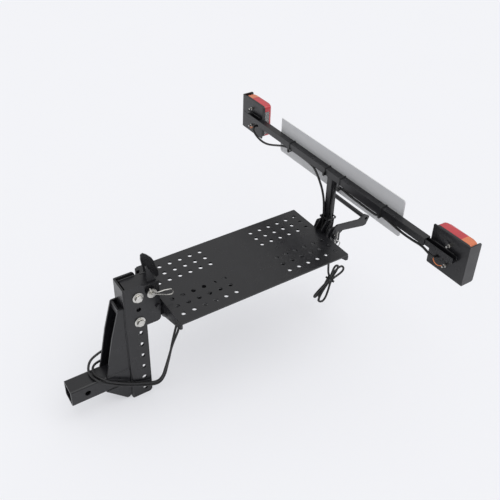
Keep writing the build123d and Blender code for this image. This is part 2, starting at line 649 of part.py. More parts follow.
def light_bar():
    """Square tube across the mast's top, open at both ends."""
    bar = block(BAR_X0, BAR_X1, -BAR_HALF, BAR_HALF, BAR_Z0, BAR_Z1)
    wall = MAST_WALL
    return bar - block(BAR_X0 + wall, BAR_X1 - wall, -BAR_HALF, BAR_HALF, BAR_Z0 + wall, BAR_Z1 - wall)


def plate_tie_band(y, depth, grow=0.0):
    """Closed band round the bar, the panel and the cables under the bar."""
    x0, x1 = BAR_X0 - CABLE_SEAT, PANEL_X1 + CABLE_SEAT
    z0, z1 = BAR_Z0 - depth, BAR_Z1 + CABLE_SEAT
    w, t = TIE_WIDTH / 2 + grow, TIE_THICK + grow
    band = block(x0 - t, x1 + t, y - w, y + w, z0 - t, z1 + t)
    return band - block(x0 + grow, x1 - grow, y - w - 1, y + w + 1, z0 + grow, z1 - grow)


def cable_ties():
    """Four ties that hold the panel and the cables to the bar, and one round the mast."""
    ties = [mast_tie()]
    for y, depth in TIE_PLACES:
        front = BAR_X0 - CABLE_SEAT - TIE_THICK
        low = BAR_Z0 - depth
        head = block(front - TIE_HEAD * 0.6, front, y - TIE_HEAD / 2, y + TIE_HEAD / 2, low - 2, low + TIE_HEAD - 2)
        ties.append(plate_tie_band(y, depth) + head)
    return ties


def number_plate_panel():
    """Flat panel behind the light bar, with slots for the ties."""
    z1 = PANEL_Z0 + PANEL_HEIGHT
    points = [(-PANEL_HALF, PANEL_Z0, PANEL_CORNER), (PANEL_HALF, PANEL_Z0, PANEL_CORNER), (PANEL_HALF, z1),
              (-PANEL_HALF, z1, PANEL_CORNER)]
    panel = end_plate(points, BAR_X1, PANEL_X1)
    for y, depth in TIE_PLACES:
        panel -= plate_tie_band(y, depth, TIE_SLOT_GAP)
    return panel


def mast_tie():
    """Cable tie round the mast and its two cables."""
    gap = 2 * CABLE_SEAT
    x0, x1 = BAR_X0 - CABLE - 2 * gap, BAR_X1 + CABLE_SEAT
    y0, y1 = -MAST / 2 - CABLE - 5 * gap, MAST / 2 + CABLE_SEAT
    t, w = TIE_THICK, TIE_WIDTH / 2
    band = block(x0 - t, x1 + t, y0 - t, y1 + t, MAST_TIE_Z - w, MAST_TIE_Z + w)
    band -= block(x0, x1, y0, y1, MAST_TIE_Z - w - 1, MAST_TIE_Z + w + 1)
    head_y = y1 + t - TIE_HEAD
    return band + block(x0 - t - 4, x0 - t, head_y, head_y + TIE_HEAD, MAST_TIE_Z - 3, MAST_TIE_Z + 3)


def lamp_holder(side):
    """Small channel, open at the top, that slides in the end of the light bar."""
    half = HOLDER / 2
    inner = half - HOLDER_WALL
    y0, y1 = sorted((side * (BAR_HALF - HOLDER_INSIDE), side * (BAR_HALF + HOLDER_REACH)))
    channel = block(MAST_X - half, MAST_X + half, y0, y1, BAR_MID_Z - half, BAR_MID_Z + half)
    return channel - block(MAST_X - inner, MAST_X + inner, y0, y1, BAR_MID_Z - inner, BAR_MID_Z + half)


def lamp_bracket(side):
    """Plate across the end of the holder, with its outer edge folded back."""
    low = LAMP_PLATE_Z1 - LAMP_PLATE_HEIGHT
    y_out = LAMP_PLATE_INNER + LAMP_PLATE_WIDTH
    points = [(side * LAMP_PLATE_INNER, low, 3), (side * y_out, low), (side * y_out, LAMP_PLATE_Z1),
              (side * LAMP_PLATE_INNER, LAMP_PLATE_Z1, 3)]
    plate = end_plate(points, LAMP_PLATE_X, LAMP_BASE_X)
    y0, y1 = sorted((side * y_out, side * (y_out - LAMP_PLATE)))
    flange = block(LAMP_PLATE_X, LAMP_PLATE_X + LAMP_FLANGE, y0, y1, low, LAMP_PLATE_Z1)
    free = flange.edges().filter_by(Axis.Y).filter_by_position(Axis.X, LENS_X, LAMP_PLATE_X + LAMP_FLANGE + 1)
    plate += fillet(free, 6)
    for z in STUD_HEIGHTS:
        plate -= bar_x(side * STUD_Y, z, STUD_R + 0.3, LAMP_PLATE_X - 1, LAMP_BASE_X + 1)
    return plate - bar_x(side * LEAD_Y, LEAD_Z, LEAD_BOSS_R + 0.3, LAMP_PLATE_X - 1, LAMP_BASE_X + 1)


def lamp_outline(side, shrink=0.0):
    """Rounded square of the lamp, optionally inset."""
    half_y, half_z = LAMP_WIDTH / 2 - shrink, LAMP_HEIGHT / 2 - shrink
    centre_y = side * (LAMP_INNER + LAMP_WIDTH / 2)
    flat = RectangleRounded(2 * half_y, 2 * half_z, LAMP_CORNER - shrink)
    return Plane.YZ * Pos(centre_y, LAMP_Z, 0) * flat


def lamp_base(side):
    """Flat base of the lamp, with the boss that its cable leaves through."""
    base = extrude(Pos(LAMP_BASE_X, 0, 0) * lamp_outline(side), LAMP_BASE)
    return base + bar_x(side * LEAD_Y, LEAD_Z, LEAD_BOSS_R, LAMP_PLATE_X - LEAD_BOSS_OUT, LAMP_BASE_X)


def lens_shell(side):
    """Hollow lens before it is split by colour."""
    shell = extrude(Pos(LENS_X, 0, 0) * lamp_outline(side), LAMP_LENS)
    face = shell.faces().sort_by(Axis.X)[-1]
    shell = fillet(face.edges(), 6)
    return shell - extrude(Pos(LENS_X, 0, 0) * lamp_outline(side, LENS_WALL), LAMP_LENS - LENS_WALL)


def amber_zone(side):
    """Outer part of the lamp that is amber."""
    y0, y1 = sorted((side * (LAMP_INNER + LAMP_WIDTH - AMBER_WIDTH), side * (LAMP_INNER + LAMP_WIDTH + 1)))
    return block(LENS_X - 1, LENS_X + LAMP_LENS + 1, y0, y1, LAMP_Z - LAMP_HEIGHT, LAMP_Z + LAMP_HEIGHT)


def window_zone(side):
    """Part of the lamp's inner side that is clear."""
    z0 = LAMP_Z - LAMP_HEIGHT / 2 + LAMP_CORNER
    y0, y1 = sorted((side * (LAMP_INNER - 1), side * (LAMP_INNER + LENS_WALL)))
    return block(LENS_X, LENS_X + WINDOW_WIDTH, y0, y1, z0, z0 + WINDOW_HEIGHT)


def lamp_bulbs(side):
    """Two small bulbs on the base, behind the red and the amber lens."""
    bulbs = []
    for share in (0.35, 0.83):
        y = side * (LAMP_INNER + LAMP_WIDTH * share)
        stem = bar_x(y, LAMP_Z, BULB_R * 0.8, LENS_X, LENS_X + BULB_LENGTH - BULB_R)
        bulbs.append(stem + Pos(LENS_X + BULB_LENGTH - BULB_R, y, LAMP_Z) * Sphere(BULB_R))
    return bulbs


def lamp_studs(side):
    """Two studs from the lamp's base with their nuts on the bracket."""
    studs = []
    for z in STUD_HEIGHTS:
        flat = Plane.YZ * RegularPolygon(STUD_NUT_AF / 2, 6, major_radius=False)
        nut = extrude(Pos(LAMP_PLATE_X - STUD_NUT_H, side * STUD_Y, z) * flat, STUD_NUT_H)
        studs.append(nut + bar_x(side * STUD_Y, z, STUD_R, LAMP_PLATE_X - STUD_NUT_H - STUD_TAIL, LAMP_BASE_X))
    return studs


def handle_arm():
    """Flat dog-leg arm on the mast pin."""
    x, z, half = REAR_PIN_X, REAR_PIN_Z, HANDLE_WIDTH / 2
    points = [(x - 11, z + 6), (x + 6, z + 33, 5), (x + 12, z + 35), (ROD_X - 27, ROD_Z + 4, 8),
              (ROD_X - 5, ROD_Z + 16, 6), (ROD_X + 14, ROD_Z + 4, 6), (ROD_X + 2, ROD_Z - 22, 4),
              (ROD_X - 8, ROD_Z - 24, 4), (x + 33, z + 10, 6), (x + 9, z - 9)]
    arm = side_plate(points, HANDLE_Y0, HANDLE_Y1) + bar_y(x, z, half, HANDLE_Y0, HANDLE_Y1)
    arm -= bar_y(x, z, REAR_PIN_R + RUNNING_FIT, HANDLE_Y0 - 1, HANDLE_Y1 + 1)
    return arm - bar_y(ROD_X, ROD_Z, HANDLE_EYE_R, HANDLE_Y0 - 1, HANDLE_Y1 + 1)


def handle_rod():
    """Round bar welded to the arm's inner face."""
    rod = bar_y(ROD_X, ROD_Z, HANDLE_ROD_R, HANDLE_Y1, HANDLE_Y1 + HANDLE_ROD_LENGTH)
    return fillet(rod.edges().filter_by(GeomType.CIRCLE).sort_by(Axis.Y)[-1], 1.5)


def hank_point(across, along, depth, angle):
    """Point near the hank's waist, measured across and along a line at an angle in XZ."""
    turn = math.radians(angle)
    x = HANK_CENTRE[0] + along * math.cos(turn) + across * math.sin(turn)
    z = HANK_CENTRE[2] + along * math.sin(turn) - across * math.cos(turn)
    return (x, HANK_CENTRE[1] + depth, z)


def hank_lobe(angle, length, width, start_side, depth_in, depth_out):
    """Corners of one loop: out along one side, round the tip and back along the other."""
    corners = [(0.45, 0.40, 0), (0.80, 0.5, 0), (0.97, 0.3, 0.3), (0.97, -0.3, 0.7), (0.80, -0.5, 1), (0.45, -0.40, 1)]
    points = []
    for along, across, share in corners:
        depth = depth_in + (depth_out - depth_in) * share
        points.append(hank_point(start_side * across * width, along * length, depth, angle))
    return points


def hank_route():
    """Cable that comes down to a hank with two loops below its waist and two above."""
    up, step, waist = HANK_AXIS, HANK_STEP, HANK_HALF_WAIST
    front, back = -step / 2, step / 2
    route = list(HANK_ENTRY)
    strands = [(-step / 2, back), (-step, front), (0.0, front), (step, front), (step / 2, back)]
    for number, (across, depth) in enumerate(strands):
        ends = [hank_point(across, waist, depth, up), hank_point(across, -waist, depth, up)]
        route += ends if number % 2 == 0 else ends[::-1]
        if number < len(HANK_LOBES):
            angle, length, width = HANK_LOBES[number]
            start = HANK_STARTS[number]
            route += hank_lobe(angle, length, width, start, depth, strands[number + 1][1])
    tail_angle = HANK_LOBES[2][0]
    return route + [hank_point(across, along, depth, tail_angle) for across, along, depth in HANK_TAIL]


def hank_tie():
    """Cable tie round the hank's waist."""
    width = 2 * HANK_STEP + CABLE + 2 * HANK_TIE_GAP
    depth = HANK_STEP + CABLE + 2 * HANK_TIE_GAP
    outer = Box(width + 2 * TIE_THICK, depth + 2 * TIE_THICK, TIE_WIDTH)
    band = outer - Box(width, depth, TIE_WIDTH + 2)
    band += Pos(width / 2 - 2, -depth / 2 - TIE_THICK - 1.5, 0) * Box(TIE_HEAD, 3, TIE_HEAD)
    return Pos(*HANK_CENTRE) * Rot(0, 90 - HANK_AXIS, 0) * band


def wire_ends():
    """Two bare wires that stick out of the hank's free end."""
    before, end = [Vector(*place) for place in hank_route()[-2:]]
    heading = (end - before).normalized()
    across = heading.cross(Vector(0, 1, 0)).normalized()
    wires = []
    for side in (-1, 1):
        foot = end + across * side * WIRE_R * 1.5
        bend = foot + heading * WIRE_LENGTH / 2
        tip = bend + heading.rotate(Axis.Y, side * WIRE_SPREAD) * WIRE_LENGTH / 2
        path = FilletPolyline(foot, bend, tip, radius=WIRE_LENGTH)
        wires.append(sweep(Plane(origin=path @ 0, z_dir=path % 0) * Circle(WIRE_R), path=path))
    return wires


def plug():
    """Round plug parked under the deck, with its gland towards the front."""
    x, y, z = PLUG_LEAD_ROUTE[0]
    shoulder = x + GLAND_LENGTH + PLUG_NECK
    face = x + GLAND_LENGTH + PLUG_LENGTH
    gland = bar_x(y, z, GLAND_R, x, x + GLAND_LENGTH)
    neck = bar_x(y, z, (PLUG_R + GLAND_R) / 2, x + GLAND_LENGTH, shoulder)
    body = bar_x(y, z, PLUG_R, shoulder, face)
    body = fillet(body.edges().filter_by(GeomType.CIRCLE).sort_by(Axis.X)[-1], 2)
    return gland + neck + body - bar_x(y, z, PLUG_R - PLUG_WALL, face - PLUG_DEEP, face + 1)


def cable_clips():
    """Saddles on the beam's side for the cable, and a strap under the deck for the plug."""
    clips = []
    side = -BEAM / 2
    inner = CABLE / 2 + 2 * CABLE_SEAT
    outer = inner + SADDLE_WALL
    y, z = side - inner - SADDLE_LIFT, BEAM_BOTTOM + SADDLE_RISE
    for place in SADDLE_PLACES:
        x0, x1 = DECK_X0 + place - SADDLE_HALF, DECK_X0 + place + SADDLE_HALF
        saddle = bar_x(y, z, outer, x0, x1) - bar_x(y, z, inner, x0 - 1, x1 + 1)
        saddle += block(x0, x1, side - SADDLE_FOOT, side, z + inner, z + 3 * outer)
        clips.append(saddle - block(x0 - 1, x1 + 1, side, 0, z - BEAM, z + BEAM))
    px, py, pz = PLUG_LEAD_ROUTE[0]
    x0 = px + GLAND_LENGTH + PLUG_LENGTH * STRAP_SHARE - STRAP_HALF
    x1 = x0 + 2 * STRAP_HALF
    strap = bar_x(py, pz, PLUG_R + STRAP_WALL, x0, x1)
    strap += block(x0, x1, py - STRAP_FOOT, py + STRAP_FOOT, pz + PLUG_R, BEAM_TOP)
    clips.append(strap - bar_x(py, pz, PLUG_R + CABLE_SEAT, x0 - 1, x1 + 1))
    return clips


def save(name, shape):
    """Write one sub-part."""
    solids = shape if isinstance(shape, list) else [shape]
    export_step(Compound(children=solids) if len(solids) > 1 else solids[0], f"parts/{name}.step")


os.makedirs("parts", exist_ok=True)
save("hitch_tube", hitch_tube())
save("post_channel", post())
save("brace_plate_right", brace_plate(-1))
save("brace_plate_left", brace_plate(1))
save("brace_cap", brace_cap())
save("lower_gusset_right", lower_gusset(-1))
save("lower_gusset_left", lower_gusset(1))
save("head_bracket", head_bracket())
save("stop_fin", stop_fin())
save("stop_rib", stop_rib())
save("clamp_screw", clamp_screw())
save("height_bolts", height_bolts())
save("height_washers", height_washers())
save("height_nuts", height_nuts())
save("bolt_spacers", bolt_spacers())
save("hinge_pin", hinge_pin())
save("hinge_washer", hinge_washer())
save("hinge_pin_clip", spring_clip(PIVOT_X, CLIP_Y, PIVOT_Z, CLIP_DROP, PIVOT_PIN_R, CLIP_LENGTH))
save("deck_plate", deck_plate())
save("center_beam", center_beam())
save("hinge_arm_right", hinge_arm(-1))
save("hinge_arm_left", hinge_arm(1))
save("hinge_hub", hinge_hub())
save("rear_bracket", rear_bracket())
save("mast_pin", mast_pin())
for word, clip_y in (("right", MAST_PIN_Y0 + PIN_TAIL), ("left", MAST_PIN_Y1 - PIN_TAIL)):
    clip = spring_clip(REAR_PIN_X, clip_y, REAR_PIN_Z, REAR_CLIP_DROP, REAR_PIN_R, REAR_CLIP_LENGTH)
    save(f"mast_pin_clip_{word}", clip)
save("mast_tube", mast_tube())
save("foot_cheeks", [foot_cheek(-1), foot_cheek(1)])
save("mast_bush", mast_bush())
save("light_bar", light_bar())
save("number_plate_panel", number_plate_panel())
save("cable_ties", cable_ties())
save("lamp_cable_left", cord("lamp_cable_left", LEFT_LAMP_ROUTE))
save("lamp_cable_right", cord("lamp_cable_right", RIGHT_LAMP_ROUTE))
for side, word in ((1, "left"), (-1, "right")):
    save(f"lamp_holder_{word}", lamp_holder(side))
    save(f"lamp_bracket_{word}", lamp_bracket(side))
    save(f"lamp_base_{word}", lamp_base(side))
    lens = lens_shell(side)
    save(f"red_lens_{word}", lens - amber_zone(side) - window_zone(side))
    save(f"amber_lens_{word}", lens & amber_zone(side))
    save(f"clear_window_{word}", lens & window_zone(side))
    save(f"lamp_bulbs_{word}", lamp_bulbs(side))
    save(f"lamp_studs_{word}", lamp_studs(side))
save("handle_arm", handle_arm())
save("handle_rod", handle_rod())
save("under_deck_cable", cord("under_deck_cable", UNDER_DECK_ROUTE))
save("cable_clips", cable_clips())
save("plug_lead", cord("plug_lead", PLUG_LEAD_ROUTE))
save("plug", plug())
save("front_cable", cord("front_cable", FRONT_ROUTE))
save("rear_hank", cord("rear_hank", hank_route()))
save("hank_tie", hank_tie())
save("wire_ends", wire_ends())
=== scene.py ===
"""Motorcycle carrier: finishes, cables, tail lamps, fasteners and the photograph's view on the frame."""
import math

import bmesh
import bpy
from bpy.props import FloatProperty, FloatVectorProperty, IntProperty, PointerProperty
from mathutils import Matrix, Vector


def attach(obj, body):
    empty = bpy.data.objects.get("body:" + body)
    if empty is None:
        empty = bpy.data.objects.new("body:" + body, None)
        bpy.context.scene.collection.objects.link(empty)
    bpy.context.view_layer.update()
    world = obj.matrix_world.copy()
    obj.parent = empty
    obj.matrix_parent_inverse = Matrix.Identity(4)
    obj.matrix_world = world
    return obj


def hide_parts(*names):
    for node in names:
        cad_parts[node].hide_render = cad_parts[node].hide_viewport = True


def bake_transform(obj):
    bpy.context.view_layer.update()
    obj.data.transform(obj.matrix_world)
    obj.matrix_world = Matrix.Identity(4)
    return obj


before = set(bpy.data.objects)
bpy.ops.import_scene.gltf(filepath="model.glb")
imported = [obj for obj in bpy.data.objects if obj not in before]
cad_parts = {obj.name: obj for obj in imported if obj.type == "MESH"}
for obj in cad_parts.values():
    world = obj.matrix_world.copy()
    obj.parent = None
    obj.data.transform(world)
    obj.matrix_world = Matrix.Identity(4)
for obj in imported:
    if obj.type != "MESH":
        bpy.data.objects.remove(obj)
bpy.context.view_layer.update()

bl_info = {
    "name": "Motorcycle Carrier",
    "version": (1, 0, 0),
    "blender": (4, 5, 0),
    "location": "View3D > Sidebar > Carrier",
    "description": "Finishes, cables, tail lamps and fasteners of a hitch mounted motorcycle carrier",
    "category": "Object",
}

# Nodes of the frame by finish, with those that come in pairs apart
BLACK_STEEL = ["hitch_tube", "post_channel", "brace_cap", "head_bracket", "stop_fin", "stop_rib",
               "deck_plate", "center_beam", "rear_bracket", "mast_tube", "foot_cheeks", "light_bar",
               "handle_arm", "handle_rod"]
BLACK_PAIRS = ["brace_plate", "lower_gusset", "hinge_arm", "lamp_holder", "lamp_bracket"]
BLACK_PINS = ["mast_pin", "clamp_screw"]
ZINC_STEEL = ["hinge_washer", "bolt_spacers", "hinge_hub", "mast_bush", "hinge_pin_clip"]
ZINC_PAIRS = ["mast_pin_clip", "lamp_studs"]
SIDES = {"left": 1, "right": -1}

# Cable routes, in metres, with the points of the solids' routes
LEFT_LAMP_LEAD = [
    (0.7758, 0.388, 0.372), (0.765, 0.388, 0.372), (0.7605, 0.378, 0.3595), (0.7635, 0.356, 0.346),
    (0.767, 0.33, 0.341), (0.768, 0.3, 0.3475), (0.7685, 0.262, 0.3635), (0.769, 0.228, 0.378),
    (0.76925, 0.212, 0.3809)]
LEFT_MAST_CABLE = [
    (0.76925, 0.212, 0.3809), (0.7695, 0.196, 0.3838), (0.7695, 0.15, 0.3843), (0.7685, 0.104, 0.3838),
    (0.7635, 0.074, 0.3844), (0.7574, 0.053, 0.3795), (0.7572, 0.036, 0.361), (0.7573, 0.02, 0.337),
    (0.7573, 0.0095, 0.306), (0.7574, 0.0055, 0.262), (0.7568, 0.005, 0.236), (0.7535, 0.005, 0.22),
    (0.7535, 0.005, 0.188), (0.75365, 0.0045, 0.1755)]
UNDER_DECK_CABLE = [
    (0.75365, 0.0045, 0.1755), (0.7538, 0.004, 0.163), (0.748, -0.003, 0.147), (0.732, -0.014, 0.1435),
    (0.711, -0.025, 0.1465), (0.69, -0.03, 0.157), (0.66, -0.0288, 0.1682), (0.6, -0.029, 0.168),
    (0.54, -0.0288, 0.1682), (0.48, -0.029, 0.168), (0.42, -0.0288, 0.1682), (0.366, -0.029, 0.168),
    (0.322, -0.0288, 0.1684), (0.292, -0.03, 0.1685), (0.272, -0.0335, 0.167), (0.258, -0.0382, 0.16),
    (0.2555, -0.0391, 0.154)]
FRONT_CABLE = [
    (0.2555, -0.0391, 0.154), (0.253, -0.04, 0.148), (0.253, -0.04, 0.1285), (0.246, -0.0416, 0.108),
    (0.235, -0.045, 0.076), (0.225, -0.048, 0.04), (0.2165, -0.046, 0.002), (0.2085, -0.0434, -0.036),
    (0.193, -0.04, -0.061), (0.166, -0.036, -0.057), (0.124, -0.0348, -0.036), (0.08, -0.0334, -0.0105),
    (0.054, -0.0322, 0.0095), (0.036, -0.0306, 0.023), (0.024, -0.018, 0.0314), (0.019, 0, 0.0292),
    (0.021, 0.021, 0.0314), (0.033, 0.035, 0.045), (0.058, 0.039, 0.054), (0.09, 0.042, 0.059),
    (0.113, 0.046, 0.0565), (0.127, 0.049, 0.041), (0.115, 0.047, 0.0255), (0.092, 0.042, 0.0235),
    (0.064, 0.038, 0.0274), (0.042, 0.033, 0.0278), (0.0314, 0.017, 0.0292), (0.0294, -0.003, 0.0292),
    (0.037, -0.0214, 0.0314), (0.053, -0.0326, 0.0206), (0.072, -0.0346, 0.0072), (0.098, -0.0356, -0.0106),
    (0.134, -0.0362, -0.032), (0.168, -0.038, -0.0464), (0.187, -0.042, -0.0486), (0.1995, -0.0476, -0.032),
    (0.2086, -0.0516, 0.004), (0.2195, -0.0554, 0.046), (0.2315, -0.0556, 0.084), (0.248, -0.051, 0.107),
    (0.2565, -0.048, 0.127), (0.2565, -0.048, 0.158), (0.262, -0.051, 0.174), (0.274, -0.052, 0.185),
    (0.29, -0.052, 0.185)]
RIGHT_LAMP_LEAD = [
    (0.7758, -0.388, 0.372), (0.765, -0.388, 0.372), (0.7638, -0.373, 0.3755), (0.7665, -0.348, 0.3805),
    (0.767, -0.316, 0.3765), (0.767, -0.277, 0.3755), (0.7665, -0.238, 0.381), (0.76625, -0.2205, 0.3826)]
RIGHT_MAST_CABLE = [
    (0.76625, -0.2205, 0.3826), (0.766, -0.203, 0.3842), (0.765, -0.15, 0.3842), (0.7652, -0.108, 0.3844),
    (0.765, -0.078, 0.3843), (0.765, -0.055, 0.3842), (0.7774, -0.055, 0.383), (0.7774, -0.078, 0.3822),
    (0.777, -0.118, 0.3814), (0.7772, -0.163, 0.3798), (0.7773, -0.19, 0.379), (0.7648, -0.19, 0.3746),
    (0.7647, -0.166, 0.3741), (0.765, -0.13, 0.3742), (0.7646, -0.094, 0.3748), (0.7652, -0.063, 0.376),
    (0.7665, -0.037, 0.377), (0.7705, -0.022, 0.366), (0.7695, -0.0142, 0.348), (0.7665, -0.0138, 0.322),
    (0.7646, -0.0138, 0.292), (0.7662, -0.0152, 0.266), (0.768, -0.0174, 0.249), (0.76, -0.0174, 0.232),
    (0.7535, -0.017, 0.22), (0.7535, -0.017, 0.188), (0.75475, -0.01825, 0.1765)]
REAR_HANK = [
    (0.75475, -0.01825, 0.1765), (0.756, -0.0195, 0.165), (0.7625, -0.024, 0.142), (0.7665, -0.026, 0.116),
    (0.7685, -0.0262, 0.09), (0.7703, -0.0262, 0.066), (0.77643, -0.02635, 0.04976),
    (0.76781, -0.02635, 0.03873), (0.75621, -0.02635, 0.01378), (0.73863, -0.02635, -0.00488),
    (0.72659, -0.02854, -0.01006), (0.71816, -0.03146, -0.0007), (0.72457, -0.03365, 0.01073),
    (0.74497, -0.03365, 0.02626), (0.76494, -0.03365, 0.04098), (0.77356, -0.03365, 0.05201),
    (0.77831, -0.03365, 0.06614), (0.78416, -0.03365, 0.08346), (0.79086, -0.03365, 0.09015),
    (0.80017, -0.03365, 0.086), (0.79969, -0.03365, 0.07655), (0.79073, -0.03365, 0.06061),
    (0.77931, -0.03365, 0.04752), (0.77069, -0.03365, 0.03648), (0.75079, -0.03365, 0.01198),
    (0.73745, -0.03365, -0.01358), (0.73742, -0.03365, -0.0286), (0.75299, -0.03365, -0.03489),
    (0.76341, -0.03365, -0.02407), (0.77156, -0.03365, 0.00359), (0.77644, -0.03365, 0.03199),
    (0.78506, -0.03365, 0.04302), (0.80112, -0.03365, 0.04723), (0.81972, -0.03365, 0.05468),
    (0.82672, -0.03146, 0.06229), (0.82181, -0.02854, 0.07191), (0.81154, -0.02635, 0.07072),
    (0.79459, -0.02635, 0.06006), (0.78219, -0.02635, 0.04527), (0.77357, -0.02635, 0.03424),
    (0.76859, -0.0215, 0.01547), (0.75442, -0.02, -0.00361), (0.74896, -0.0195, -0.02513)]

# Places of the photographed pieces, in metres
TIE_PLACES = [(0.190, 0.008), (0.024, 0.001), (-0.040, 0.0165), (-0.203, 0.008)]
MAST_TIE_HEIGHT = 0.261
MAST_X, MAST_HALF = 0.771, 0.010
BAR_BOTTOM, BAR_TOP = 0.388, 0.408
PANEL_BACK = 0.784
HANK_WAIST = (0.775, -0.030, 0.042)
HANK_STEP = 0.0073
HANK_SLANT = math.radians(52)
BOLT_X, BOLT_HEIGHTS, POST_HALF = 0.1555, (0.256, 0.176), 0.030
WASHER_THICK, HEAD_THICK, NUT_THICK, BOLT_END = 0.0025, 0.0075, 0.0105, 0.003
PLUG_START, PLUG_Y, PLUG_Z = 0.290, -0.052, 0.185
LAMP_INNER, LAMP_SIZE, LAMP_Z, LENS_BACK, LENS_SHOULDER = 0.360, 0.105, 0.393, 0.7898, 0.0195
AMBER_WIDE = 0.032
WINDOW_LOW, WINDOW_TALL, WINDOW_DEEP, WINDOW_WIDE = 0.3495, 0.078, 0.0025, 0.016
STUD_SHARE, STUD_LOW = 0.53, 0.362
DIP_EDGE, DIP_FADE = 0.031, 0.0005

# The view, fitted to the photograph's straight edges
CAMERA_PLACE = (-0.32348, -1.21556, 1.38699)
CAMERA_TURN = (56.2242, -0.4095, -31.7804)
FLOOR_HEIGHT = -0.0862
SKY_LOW, SKY_HIGH = 0.45, 1.45
SUN_TURN, SUN_SPREAD = (18, 12, 0), 70


class CarrierFinishes(bpy.types.PropertyGroup):
    """Colours of the carrier."""
    powder: FloatVectorProperty(name="Powder coat", description="Black coat of the steel",
                                subtype="COLOR", min=0, max=1, default=(0.0095, 0.0095, 0.0115))
    zinc: FloatVectorProperty(name="Zinc", description="Plating of bolts, pins and clips",
                              subtype="COLOR", min=0, max=1, default=(0.62, 0.61, 0.58))
    sheet: FloatVectorProperty(name="Plate panel", description="Grey panel behind the bar",
                               subtype="COLOR", min=0, max=1, default=(0.62, 0.625, 0.64))
    red: FloatVectorProperty(name="Red lens", description="Red part of the lamps",
                             subtype="COLOR", min=0, max=1, default=(0.50, 0.030, 0.042))
    amber: FloatVectorProperty(name="Amber lens", description="Amber part of the lamps",
                               subtype="COLOR", min=0, max=1, default=(0.66, 0.18, 0.075))
    rubber: FloatVectorProperty(name="Cable jacket", description="Jacket of the cables",
                                subtype="COLOR", min=0, max=1, default=(0.012, 0.012, 0.013))
    moulded: FloatVectorProperty(name="Moulded plastic", description="Lamp bases, ties and plug",
                                 subtype="COLOR", min=0, max=1, default=(0.014, 0.014, 0.015))


class CarrierSizes(bpy.types.PropertyGroup):
    """Sizes of the pieces that are modelled here."""
    cable: FloatProperty(name="Cable", description="Diameter of the cables", unit="LENGTH", min=0.002,
                         max=0.012, default=0.0065)
    tie_width: FloatProperty(name="Tie width", description="Width of the cable ties", unit="LENGTH",
                             min=0.002, max=0.01, default=0.0048)
    tie_thick: FloatProperty(name="Tie thickness", description="Thickness of the cable ties", unit="LENGTH",
                             min=0.0005, max=0.003, default=0.0013)
    tie_head: FloatProperty(name="Tie head", description="Side of a cable tie's head", unit="LENGTH",
                            min=0.003, max=0.01, default=0.0065)
    weld: FloatProperty(name="Weld bead", description="Radius of the weld beads", unit="LENGTH", min=0.0005,
                        max=0.006, default=0.0022)
    edge: FloatProperty(name="Edge rounding", description="Rounding of the cut steel edges", unit="LENGTH",
                        min=0.0, max=0.002, default=0.0006)
    bolt_across: FloatProperty(name="Bolt head", description="Width across the flats of the bolt heads",
                               unit="LENGTH", min=0.01, max=0.03, default=0.018)
    bolt_radius: FloatProperty(name="Bolt radius", description="Radius of the bolts' shanks", unit="LENGTH",
                               min=0.003, max=0.01, default=0.006)
    washer_radius: FloatProperty(name="Washer", description="Radius of the large washers", unit="LENGTH",
                                 min=0.008, max=0.03, default=0.0145)
    plug_radius: FloatProperty(name="Plug", description="Radius of the plug's body", unit="LENGTH", min=0.01,
                               max=0.03, default=0.018)
    plug_length: FloatProperty(name="Plug length", description="Length of the plug with its gland",
                               unit="LENGTH", min=0.04, max=0.1, default=0.070)
    lens_rib: FloatProperty(name="Lens rib pitch", description="Distance between the ribs on the lenses",
                            unit="LENGTH", min=0.001, max=0.01, default=0.0028)
    plug_pins: IntProperty(name="Plug pins", description="Contacts in the plug", min=4, max=13, default=7)


class CarrierStage(bpy.types.PropertyGroup):
    """Camera, lights and floor."""
    lens: FloatProperty(name="Lens", description="Focal length on a 36 mm sensor, in millimetres", min=20,
                        max=200, default=49.42)
    shift_x: FloatProperty(name="Shift X", description="Sideways framing of the photograph", min=-0.5,
                           max=0.5, default=0.04)
    shift_y: FloatProperty(name="Shift Y", description="Upright framing of the photograph", min=-0.5, max=0.5,
                           default=-0.10)
    floor: FloatVectorProperty(name="Floor", description="Colour of the floor",
                               subtype="COLOR", min=0, max=1, default=(0.90, 0.905, 0.935))
    backdrop: FloatVectorProperty(name="Backdrop", description="Tone of the floor where no shadow falls",
                                  subtype="COLOR", min=0, max=1, default=(0.850, 0.857, 0.890))
    thin: FloatProperty(name="Shadow thinning", description="Share of the floor shown without shadow", min=0,
                        max=1, default=0.56)
    sky: FloatProperty(name="Sky", description="Strength of the even light from all round", min=0, max=2,
                       default=0.575)
    sun: FloatProperty(name="Overhead light", description="Strength of the soft light from above", min=0,
                       max=5, default=1.20)


def sizes():
    """Sizes as the panel sets them."""
    return bpy.context.scene.carrier_sizes


def finishes():
    """Colours as the panel sets them."""
    return bpy.context.scene.carrier_finishes


# Finishes

NOISE_MIDDLE = (0.3, 0.7)
PATCH_SCALE = 2.3
BUMP_STRENGTH = 0.6


def add_node(tree, kind, values=None, **settings):
    """New shader node with its settings and unlinked values."""
    node = tree.nodes.new(kind)
    for key, value in settings.items():
        setattr(node, key, value)
    for key, value in (values or {}).items():
        node.inputs[key].default_value = value
    return node


def speckle(tree, scale, detail, stretch):
    """Noise that stays with the piece, as a factor from 0 to 1."""
    place = add_node(tree, "ShaderNodeTexCoord")
    mapping = add_node(tree, "ShaderNodeMapping", {"Scale": stretch})
    noise = add_node(tree, "ShaderNodeTexNoise", {"Scale": scale, "Detail": detail})
    tree.links.new(place.outputs["Object"], mapping.inputs["Vector"])
    tree.links.new(mapping.outputs["Vector"], noise.inputs["Vector"])
    return noise.outputs["Fac"]


